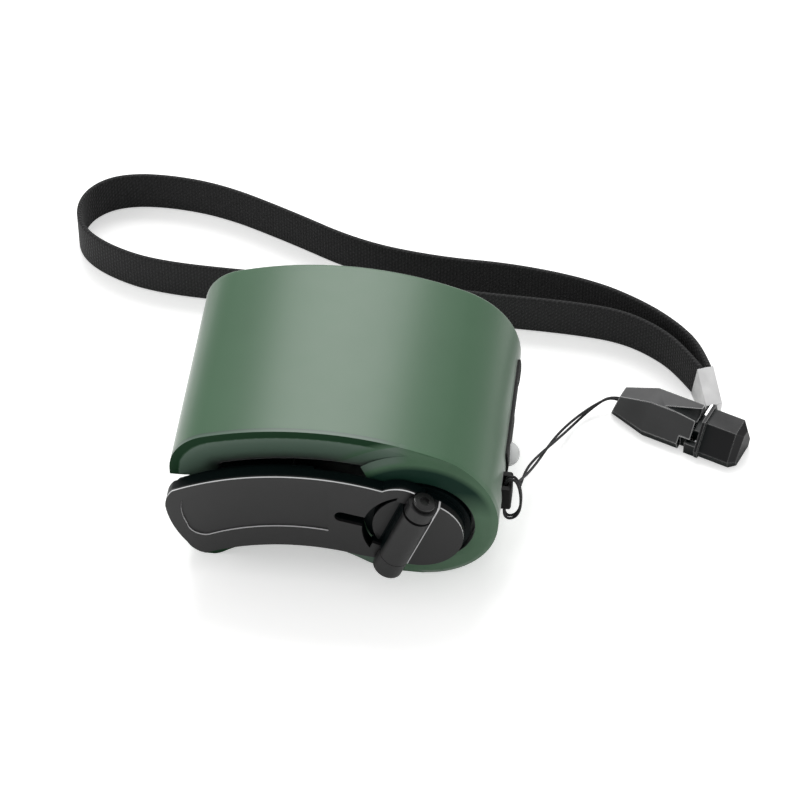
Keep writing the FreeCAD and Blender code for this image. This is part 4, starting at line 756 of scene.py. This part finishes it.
def metal(name, colour, roughness, stretch=(1.0, 1.0, 30.0), depth=0.002):
    """Turned or drawn metal: fine lines one way, their depth in millimetres, and faint tarnish."""
    recipe = Recipe(name, Base_Color=colour, Roughness=roughness, Metallic=1.0)
    slow = recipe.noise(220.0, 3.0)
    recipe.tint(recipe.spread(slow, *NOISE_BAND), shade(colour, 0.86), shade(colour, 1.06))
    lines = recipe.noise(900.0, 2.0, stretch=stretch)
    gloss = recipe.spread(lines, 0.25, 0.75, roughness - 0.06, roughness + 0.10)
    recipe.link(gloss, recipe.shader.inputs["Roughness"])
    recipe.bump(lines, depth * MM)
    return recipe.material


def clear_plastic(name, clearness):
    """Milky clear moulded plastic with a faint ripple."""
    recipe = Recipe(name, Base_Color=(0.92, 0.94, 0.93), Roughness=0.12, IOR=1.49)
    recipe.shader.inputs["Transmission Weight"].default_value = clearness
    recipe.bump(recipe.noise(500.0, 2.0), 0.01 * MM)
    return recipe.material


def webbing(name, colour):
    """Woven tape, from its UV in millimetres: ribs across, crossed by slanting picks."""
    recipe = Recipe(name, Base_Color=colour, Roughness=0.82, Sheen_Weight=0.08, Sheen_Roughness=0.4)
    ribs = recipe.node("ShaderNodeTexWave", wave_type="BANDS", bands_direction="X")
    ribs.inputs["Scale"].default_value = 0.42
    ribs.inputs["Distortion"].default_value = 0.5
    ribs.inputs["Detail Scale"].default_value = 2.0
    picks = recipe.node("ShaderNodeTexWave", wave_type="BANDS", bands_direction="DIAGONAL")
    picks.inputs["Scale"].default_value = 0.55
    picks.inputs["Distortion"].default_value = 0.4
    recipe.link(recipe.place.outputs["UV"], ribs.inputs["Vector"])
    recipe.link(recipe.place.outputs["UV"], picks.inputs["Vector"])
    weave = recipe.join(ribs.outputs["Fac"], picks.outputs["Fac"])
    recipe.tint(weave, shade(colour, 0.55), shade(colour, 1.9))
    recipe.bump(weave, 0.16 * MM)
    recipe.bump(recipe.noise(7.0, 3.0, source="UV"), 0.03 * MM)
    return recipe.material


def braid(name, colour):
    """Thin braided cord, from its UV in millimetres."""
    recipe = Recipe(name, Base_Color=colour, Roughness=0.7, Sheen_Weight=0.05)
    wave = recipe.node("ShaderNodeTexWave", wave_type="BANDS", bands_direction="DIAGONAL")
    wave.inputs["Scale"].default_value = 0.9
    wave.inputs["Distortion"].default_value = 0.6
    recipe.link(recipe.place.outputs["UV"], wave.inputs["Vector"])
    recipe.tint(wave.outputs["Fac"], shade(colour, 0.5), shade(colour, 1.8))
    recipe.bump(wave.outputs["Fac"], 0.06 * MM)
    return recipe.material


# ------------------------------------------------------------------ operators


class CHARGER_OT_stage(bpy.types.Operator):
    """Sets the camera, the table and the soft light"""

    bl_idname = "charger.stage"
    bl_label = "Stage"

    def execute(self, context):
        settings = context.scene.charger_stage
        self.camera(context, settings)
        self.table_top()
        self.light(context, settings)
        return {"FINISHED"}

    def camera(self, context, settings):
        """Aims along the fitted view: the housing's foot sits at a fixed point of the frame."""
        heading = math.radians(settings.heading)
        pitch = math.radians(settings.pitch)
        right = np.array([math.cos(heading), math.sin(heading), 0.0])
        up = np.array(
            [-math.sin(heading) * math.sin(pitch), math.cos(heading) * math.sin(pitch), math.cos(pitch)]
        )
        forward = np.array(
            [-math.sin(heading) * math.cos(pitch), math.cos(heading) * math.cos(pitch), -math.sin(pitch)]
        )
        foot_x = (FOOT_IN_FRAME[0] - 0.5) / settings.focal
        foot_y = (0.5 - FOOT_IN_FRAME[1]) / settings.focal
        place = SHIFT - (forward + foot_x * right + foot_y * up) * settings.distance
        lens = bpy.data.cameras.new("camera")
        lens.sensor_fit = "HORIZONTAL"
        lens.sensor_width = SENSOR_WIDTH
        lens.lens = SENSOR_WIDTH * settings.focal
        lens.clip_end = 10.0
        camera = bpy.data.objects.new("camera", lens)
        context.scene.collection.objects.link(camera)
        turn = Matrix((right, up, -forward)).transposed().to_4x4()
        camera.matrix_world = Matrix.Translation(Vector(place)) @ turn
        context.scene.camera = camera

    def table_top(self):
        """A wide level sheet: point(u, v) = (u, v, TABLE_DROP).  It glows only for the camera and
        through clear pieces."""
        line = np.linspace(-TABLE_REACH, TABLE_REACH, 5)
        x, y = np.meshgrid(line, line, indexing="ij")
        points = np.stack([x, y, np.full_like(x, TABLE_DROP)], -1).reshape(-1, 3)
        faces = grid_faces(len(line), len(line), close_columns=False)[:, ::-1]
        floor = new_mesh_object("table_top", points, faces)
        recipe = Recipe("table_white", Base_Color=(0.93, 0.93, 0.925), Roughness=0.9)
        recipe.shader.inputs["Specular IOR Level"].default_value = 0.1
        recipe.bump(recipe.noise(300.0), 0.02 * MM)
        tree = recipe.tree
        rays = tree.nodes.new("ShaderNodeLightPath")
        seen = tree.nodes.new("ShaderNodeMath")
        seen.operation = "MAXIMUM"
        glow = tree.nodes.new("ShaderNodeEmission")
        glow.inputs["Color"].default_value = (1.0, 1.0, 1.0, 1.0)
        glow.inputs["Strength"].default_value = TABLE_GLOW
        nothing = tree.nodes.new("ShaderNodeEmission")
        nothing.inputs["Strength"].default_value = 0.0
        pick = tree.nodes.new("ShaderNodeMixShader")
        total = tree.nodes.new("ShaderNodeAddShader")
        tree.links.new(rays.outputs["Is Camera Ray"], seen.inputs[0])
        tree.links.new(rays.outputs["Is Transmission Ray"], seen.inputs[1])
        tree.links.new(seen.outputs["Value"], pick.inputs["Fac"])
        tree.links.new(nothing.outputs["Emission"], pick.inputs[1])
        tree.links.new(glow.outputs["Emission"], pick.inputs[2])
        tree.links.new(recipe.shader.outputs["BSDF"], total.inputs[0])
        tree.links.new(pick.outputs["Shader"], total.inputs[1])
        tree.links.new(total.outputs["Shader"], tree.nodes["Material Output"].inputs["Surface"])
        floor.data.materials.append(recipe.material)

    def light(self, context, settings):
        """An even sky that the camera sees as white, and three soft boxes."""
        world = bpy.data.worlds.new("studio")
        world.use_nodes = True
        tree = world.node_tree
        sky = tree.nodes["Background"]
        sky.inputs["Color"].default_value = (1.0, 1.0, 1.0, 1.0)
        sky.inputs["Strength"].default_value = settings.sky
        backdrop = tree.nodes.new("ShaderNodeBackground")
        backdrop.inputs["Strength"].default_value = 1.0
        rays = tree.nodes.new("ShaderNodeLightPath")
        pick = tree.nodes.new("ShaderNodeMixShader")
        tree.links.new(rays.outputs["Is Camera Ray"], pick.inputs["Fac"])
        tree.links.new(sky.outputs["Background"], pick.inputs[1])
        tree.links.new(backdrop.outputs["Background"], pick.inputs[2])
        tree.links.new(pick.outputs["Shader"], tree.nodes["World Output"].inputs["Surface"])
        context.scene.world = world
        # Name, place, target and share of the key light's power.
        lamps = (
            ("back_box", (-0.06, 0.52, 0.62), (0.0, 0.0, 0.0), 1.0),
            ("left_box", (-0.75, -0.15, 0.45), (0.0, 0.0, 0.02), 0.25),
            ("right_box", (0.70, -0.40, 0.25), (0.0, 0.0, 0.02), 0.15),
        )
        for name, place, target, share in lamps:
            data = bpy.data.lights.new(name, "AREA")
            data.shape = "SQUARE"
            data.size = LAMP_SIZE
            data.energy = settings.key_power * share
            lamp = bpy.data.objects.new(name, data)
            context.scene.collection.objects.link(lamp)
            way = Vector(target) - Vector(place)
            turn = way.to_track_quat("-Z", "Y").to_matrix().to_4x4()
            lamp.matrix_world = Matrix.Translation(Vector(place)) @ turn


class CHARGER_OT_strap(bpy.types.Operator):
    """Builds the woven wrist strap"""

    bl_idname = "charger.strap"
    bl_label = "Wrist strap"

    def execute(self, context):
        sizes = context.scene.charger_strap
        middle = (sizes.lift + sizes.width / 2) / MM
        control = placed_points([(x, y, middle) for x, y in STRAP_ROUTE])
        path = spline_line("strap_line", control)
        side, up = across_path(path)
        outline = rounded_outline(sizes.thickness, sizes.width, sizes.thickness * STRAP_CORNER)
        strap = swept("wrist_strap", path, side, up, outline, uv_scale=1 / MM)
        finish_piece(strap, webbing("strap_webbing", tuple(sizes.colour)), "strap_end")
        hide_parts("lanyard_strap")
        return {"FINISHED"}


class CHARGER_OT_string(bpy.types.Operator):
    """Builds the twisted string and its hitch in the eye"""

    bl_idname = "charger.string"
    bl_label = "Buckle string"

    def execute(self, context):
        # Each strand's line is path(s) + spread (cos turn side + sin turn up), with turn rising
        # along s; both strands stand opposite each other.
        sizes = context.scene.charger_string
        path = spline_line("string_line", placed_points(STRING_ROUTE))
        side, up = across_path(path)
        along = lengths_along(path)
        cord = braid("string_braid", (0.005, 0.005, 0.006))
        outline = circle_outline(sizes.strand)
        strands = []
        for i in range(2):
            turn = 2 * math.pi * along / sizes.lay_length + i * math.pi + math.radians(sizes.lay_start)
            offset = sizes.spread * (np.cos(turn)[:, None] * side + np.sin(turn)[:, None] * up)
            line = path + offset
            strands.append(swept(f"strand_{i}", line, *across_path(line), outline, uv_scale=1 / MM))
        string = join_pieces(strands, "buckle_string")
        finish_piece(string, cord, "housing")
        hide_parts("lanyard_string")
        hitch = self.hitch(cord, sizes)
        return {"FINISHED"}

    def hitch(self, cord, sizes):
        """Two turns of one strand side by side through the eye."""
        loops = []
        for i, shift in enumerate((-HITCH_SPREAD, HITCH_SPREAD)):
            control = placed_points([(x, HITCH_Y + shift, z) for x, z in HITCH_ROUTE])
            path = spline_line(f"hitch_line_{i}", control, cyclic=True)
            along = unit_rows(np.roll(path, -1, axis=0) - np.roll(path, 1, axis=0))
            side = np.broadcast_to(np.array([0.0, 1.0, 0.0]), along.shape)
            up = np.cross(along, side)
            outline = circle_outline(sizes.strand)
            loops.append(swept(f"hitch_{i}", path, side, up, outline, closed=True, uv_scale=1 / MM))
        hitch = join_pieces(loops, "string_hitch_loops")
        finish_piece(hitch, cord, "housing")
        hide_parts("string_hitch")
        return hitch


class CHARGER_OT_casing(bpy.types.Operator):
    """Finishes the green casing"""

    bl_idname = "charger.casing"
    bl_label = "Casing"

    def execute(self, context):
        look = context.scene.charger_case
        colour = tuple(look.colour)
        paint = moulded(
            "casing_green",
            colour,
            look.roughness,
            grain=CASING_GRAIN,
            mottle=0.03,
            specular=0.4,
            Coat_Weight=0.08,
            Coat_Roughness=0.25,
            Sheen_Weight=0.6,
            Sheen_Roughness=0.3,
        )
        for node in ("housing_shell", "back_cover"):
            dress(node, paint, rounding=look.rounding)
        dress("front_cover", self.cover_paint(colour, look.roughness), rounding=look.rounding)
        return {"FINISHED"}

    def cover_paint(self, colour, roughness):
        """Green on the lip and the collar, with a painted sheen, a painted dark reflection and painted
        shade, fading to black painted shade down the bay and inside the collar.
        """
        recipe = Recipe(
            "cover_green",
            Base_Color=colour,
            Roughness=roughness,
            Sheen_Weight=0.2,
            Sheen_Roughness=0.3,
        )
        recipe.mottle(colour, 0.1)
        face = float(SHIFT[1]) - HOUSING_BACK
        centre_x, centre_z = hub_centre()
        off_hub = recipe.off_axis(centre_x, centre_z)
        height = recipe.along_axis("Z")
        # Painted sheen on the rolled edge behind the lip's face, and on the flank of the collar's block.
        off_block = recipe.spread(off_hub, COLLAR_BLOCK, COLLAR_BLOCK + 2.0 * MM)
        roll = recipe.by_depth(face, 0.0, SHARP)
        recipe.blend(recipe.join(roll, off_block), ROLL_SHEEN_GREEN)
        left = recipe.along_axis("X")
        left = recipe.spread(left, centre_x - 5.0 * MM, centre_x - 2.0 * MM, 1.0, 0.0)
        past_ring = recipe.spread(off_hub, RING_EDGE, RING_EDGE + 0.6 * MM)
        on_block = recipe.spread(off_hub, COLLAR_BLOCK, COLLAR_BLOCK + 0.2 * MM, 1.0, 0.0)
        flank = recipe.join(past_ring, on_block)
        recipe.blend(recipe.join(flank, left), ROLL_SHEEN_GREEN)
        # Painted dark reflection on the lip's rim, and painted shade in the ring over the hub.
        rim = recipe.join(recipe.by_depth(face, 0.0, SHARP, 1.0, 0.0), off_block)
        recipe.blend(rim, RIM_REFLECTION_GREEN)
        ring = recipe.spread(off_hub, RING_EDGE - 1.0 * MM, RING_EDGE, 1.0, 0.0)
        upper = recipe.spread(height, centre_z + 3.0 * MM, centre_z + 10.0 * MM)
        ring = recipe.join(ring, upper)
        recipe.blend(ring, RING_SHADE_GREEN)
        dull = recipe.spread(recipe.join(rim, ring, "MAXIMUM"), 0.0, 1.0, 0.4, 0.05)
        recipe.link(dull, recipe.shader.inputs["Specular IOR Level"])
        # Painted shade: black down the bay, further in beside the block, and inside the collar.
        near = recipe.join(recipe.by_depth(face, 0.4 * MM, 1.9 * MM), off_block)
        deep = recipe.by_depth(face, 2.5 * MM, 5.0 * MM)
        inside = recipe.spread(off_hub, COLLAR_INNER, COLLAR_INNER + 0.1 * MM, 1.0, 0.0)
        black = recipe.join(recipe.join(near, deep, "MAXIMUM"), inside, "MAXIMUM")
        recipe.blend(black, SHADE_BLACK)
        recipe.bump(recipe.noise(CASING_GRAIN, 2.0), 0.006 * MM)
        return recipe.material


class CHARGER_OT_crank(bpy.types.Operator):
    """Finishes the hub, the folding arm, its hinge and the grip"""

    bl_idname = "charger.crank"
    bl_label = "Crank"

    def execute(self, context):
        look = context.scene.charger_crank
        front = float(SHIFT[1]) - HOUSING_BACK - ARM_RISE
        black = moulded("grip_black", (0.010, 0.010, 0.011), 0.45, grain=CRANK_GRAIN, depth=0.010)
        pin = moulded("pin_black", (0.012, 0.012, 0.012), 0.16, grain=CRANK_GRAIN, depth=0.004)
        steel = metal("pin_steel", (0.62, 0.62, 0.63), 0.28)
        dress("crank_arm", self.arm_paint(look, front), rounding=look.rounding)
        dress("crank_hub", self.hub_paint(look, front), rounding=look.rounding)
        dress("hinge_pin", pin, rounding=PIN_ROUNDING)
        for node in ("grip_block", "grip_sleeve"):
            dress(node, black, rounding=FINE_ROUNDING)
        for node in ("grip_axle", "grip_pivot_pin", "crank_shaft"):
            dress(node, steel)
        return {"FINISHED"}

    def charcoal(self, name, look):
        """Charcoal plastic with a faint mottle and grain."""
        colour = tuple(look.colour)
        recipe = Recipe(name, Base_Color=colour, Roughness=look.roughness)
        recipe.mottle(colour, 0.1)
        recipe.bump(recipe.noise(CRANK_GRAIN, 2.0), 0.010 * MM)
        return recipe

    def highlight_band(self, recipe, front, start):
        """A mask of the narrow strip behind the face, from the start to LINE_END, where a highlight is
        painted.
        """
        rise = recipe.by_depth(front, start, start + LINE_FADE)
        fall = recipe.by_depth(front, LINE_END, LINE_END + LINE_FADE, 1.0, 0.0)
        return recipe.join(rise, fall)

    def paint_shade(self, recipe, mask):
        """Painted shade: black and dull where the mask is one."""
        recipe.blend(mask, SHADE_BLACK)
        recipe.link(recipe.spread(mask, 0.0, 1.0, 0.5, 0.1), recipe.shader.inputs["Specular IOR Level"])

    def arm_paint(self, look, front):
        """Charcoal on the face, black painted shade behind it, with a painted highlight line round the
        arm and its panel.
        """
        recipe = self.charcoal("arm_charcoal", look)
        # Painted highlight: a light line along the arm's edges and its panel, clear of the keyhole and
        # the hub.
        line = self.highlight_band(recipe, front, ARM_LINE)
        off_keyhole = recipe.off_axis(float(SHIFT[0]) + KEYHOLE[0], KEYHOLE[1])
        clear = recipe.spread(off_keyhole, *KEYHOLE_CLEAR)
        off_hub = recipe.spread(recipe.off_axis(*hub_centre()), *HUB_CLEAR)
        clear = recipe.join(clear, off_hub)
        recipe.blend(recipe.join(line, clear), HIGHLIGHT_WHITE)
        # Painted shade on the arm's sides and back.
        self.paint_shade(recipe, recipe.by_depth(front, 0.6 * MM, 0.9 * MM))
        return recipe.material

    def hub_paint(self, look, front):
        """Charcoal with painted highlights on the right-hand rim and beside the barrel, and black
        painted shade beside the barrel and round the hub.
        """
        recipe = self.charcoal("hub_charcoal", look)
        centre_x, centre_z = hub_centre()
        lean = math.radians(HINGE_ANGLE)
        way = (-math.sin(lean), 0.0, math.cos(lean))
        middle = centre_x * way[0] + centre_z * way[2]
        across = recipe.along_way(way)
        # Painted highlight on the right-hand rim of the disc.
        line = self.highlight_band(recipe, front, HUB_LINE)
        right = recipe.spread(across, middle - 2.0 * MM, middle - 1.6 * MM, 1.0, 0.0)
        recipe.blend(recipe.join(line, right), HIGHLIGHT_WHITE)
        # Painted highlight in a narrow line on the disc along the barrel's right side.
        glint_at = middle + BARREL_GLINT
        rise = recipe.spread(across, glint_at - 0.40 * MM, glint_at - 0.30 * MM)
        fall = recipe.spread(across, glint_at, glint_at + 0.1 * MM, 1.0, 0.0)
        recipe.blend(recipe.join(rise, fall), HIGHLIGHT_WHITE)
        # Painted shade: black in a line beside the barrel's left side, and on the hub behind the disc's
        # step.
        shade_at = middle + BARREL_SHADE
        rise = recipe.spread(across, shade_at, shade_at + 0.05 * MM)
        fall = recipe.spread(across, shade_at + 0.6 * MM, shade_at + 0.7 * MM, 1.0, 0.0)
        back = recipe.by_depth(front, DISC_STEP, DISC_STEP + 0.3 * MM)
        self.paint_shade(recipe, recipe.join(recipe.join(rise, fall), back, "MAXIMUM"))
        return recipe.material


class CHARGER_OT_port_end(bpy.types.Operator):
    """Finishes the port plate, socket, lamp and eye"""

    bl_idname = "charger.port_end"
    bl_label = "Port end"

    def execute(self, context):
        black = moulded("port_black", (0.004, 0.004, 0.004), 0.55, specular=0.15)
        for node in ("port_plate", "lanyard_eye", "usb_tongue"):
            dress(node, black, rounding=FINE_ROUNDING)
        dress("usb_shell", metal("socket_plating", (0.72, 0.72, 0.73), 0.20, stretch=(1, 20, 1)))
        dress("usb_contacts", metal("contact_gold", (0.83, 0.62, 0.25), 0.22))
        dress("led_lens", clear_plastic("lens_clear", 0.4))
        dress("led_lamp", moulded("lamp_white", (0.85, 0.84, 0.70), 0.2))
        dress("led_board", moulded("board_green", (0.02, 0.12, 0.05), 0.35))
        return {"FINISHED"}


class CHARGER_OT_inside(bpy.types.Operator):
    """Finishes the gear train, the generator and the electronics"""

    bl_idname = "charger.inside"
    bl_label = "Inside"

    def execute(self, context):
        acetal = moulded("gear_acetal", (0.74, 0.73, 0.68), 0.42)
        sheet = metal("plate_steel", (0.60, 0.60, 0.61), 0.34, stretch=(30, 1, 1))
        steel = metal("axle_steel", (0.66, 0.66, 0.67), 0.22)
        bronze = metal("bush_bronze", (0.56, 0.38, 0.18), 0.36)
        iron = metal("rotor_iron", (0.30, 0.27, 0.24), 0.5)
        board = moulded("circuit_green", (0.02, 0.12, 0.05), 0.35)
        finishes = {
            "crank_gear": acetal,
            "idler_gear_a": acetal,
            "idler_gear_b": acetal,
            "rotor_pinion": acetal,
            "front_gear_plate": sheet,
            "rear_gear_plate": sheet,
            "gear_pillars": steel,
            "plate_screws": steel,
            "cover_screws": steel,
            "idler_axle_a": steel,
            "idler_axle_b": steel,
            "rotor_shaft": steel,
            "front_bush": bronze,
            "rear_bush": bronze,
            "generator_can": metal("can_plating", (0.52, 0.52, 0.54), 0.3, stretch=(1, 1, 20)),
            "generator_magnets": moulded("ferrite", (0.03, 0.03, 0.032), 0.6),
            "generator_rotor": iron,
            "circuit_board": board,
            "smoothing_capacitor": moulded("capacitor_sleeve", (0.02, 0.04, 0.14), 0.25),
            "rectifier_diodes": moulded("diode_black", (0.012, 0.012, 0.012), 0.4),
            "regulator_chip": moulded("chip_black", (0.010, 0.010, 0.010), 0.55),
        }
        for node, material in finishes.items():
            dress(node, material)
        return {"FINISHED"}


class CHARGER_OT_buckle(bpy.types.Operator):
    """Finishes the release buckle and the strap's crimp"""

    bl_idname = "charger.buckle"
    bl_label = "Buckle"

    def execute(self, context):
        # Both halves get painted shade in their recesses and painted highlights on their edges.
        shared = {"depth": 0.006, "specular": 0.2, "hollow": SHADE_BLACK}
        grey = moulded("buckle_grey", (0.060, 0.060, 0.061), 0.42, edge=(0.50, 0.50, 0.50), **shared)
        black = moulded("buckle_black", (0.011, 0.011, 0.012), 0.42, edge=(0.16, 0.16, 0.16), **shared)
        dress("buckle_socket", grey, crease=25.0)
        dress("buckle_tongue", black, crease=25.0)
        dress("strap_crimp", metal("crimp_plating", (0.94, 0.94, 0.94), 0.34), rounding=FINE_ROUNDING)
        return {"FINISHED"}


class CHARGER_PT_panel(bpy.types.Panel):
    """Lists the charger's pieces"""

    bl_idname = "CHARGER_PT_panel"
    bl_label = "Hand crank charger"
    bl_space_type = "VIEW_3D"
    bl_region_type = "UI"
    bl_category = "Charger"

    def draw(self, context):
        for name in GROUPS:
            box = self.layout.box()
            settings = getattr(context.scene, name)
            for key in settings.__annotations__:
                box.prop(settings, key)
        for operator in OPERATORS:
            self.layout.operator(operator.bl_idname)


GROUPS = {
    "charger_case": CaseLook,
    "charger_crank": CrankLook,
    "charger_strap": StrapSizes,
    "charger_string": StringSizes,
    "charger_stage": StageSettings,
}
OPERATORS = (
    CHARGER_OT_stage,
    CHARGER_OT_buckle,
    CHARGER_OT_strap,
    CHARGER_OT_string,
    CHARGER_OT_casing,
    CHARGER_OT_crank,
    CHARGER_OT_port_end,
    CHARGER_OT_inside,
)
CLASSES = (*GROUPS.values(), *OPERATORS, CHARGER_PT_panel)


def register():
    """Registers the classes and hangs their settings on the scene."""
    for cls in CLASSES:
        bpy.utils.register_class(cls)
    for name, group in GROUPS.items():
        setattr(bpy.types.Scene, name, PointerProperty(type=group))


def unregister():
    """Takes the settings and the classes away again."""
    for name in GROUPS:
        delattr(bpy.types.Scene, name)
    for cls in reversed(CLASSES):
        bpy.utils.unregister_class(cls)


def main():
    """Builds the whole scene."""
    register()
    bpy.context.scene.view_settings.view_transform = "Standard"
    bpy.ops.charger.stage()
    bpy.ops.charger.buckle()
    bpy.ops.charger.strap()
    bpy.ops.charger.string()
    bpy.ops.charger.casing()
    bpy.ops.charger.crank()
    bpy.ops.charger.port_end()
    bpy.ops.charger.inside()


if __name__ == "__main__":
    main()
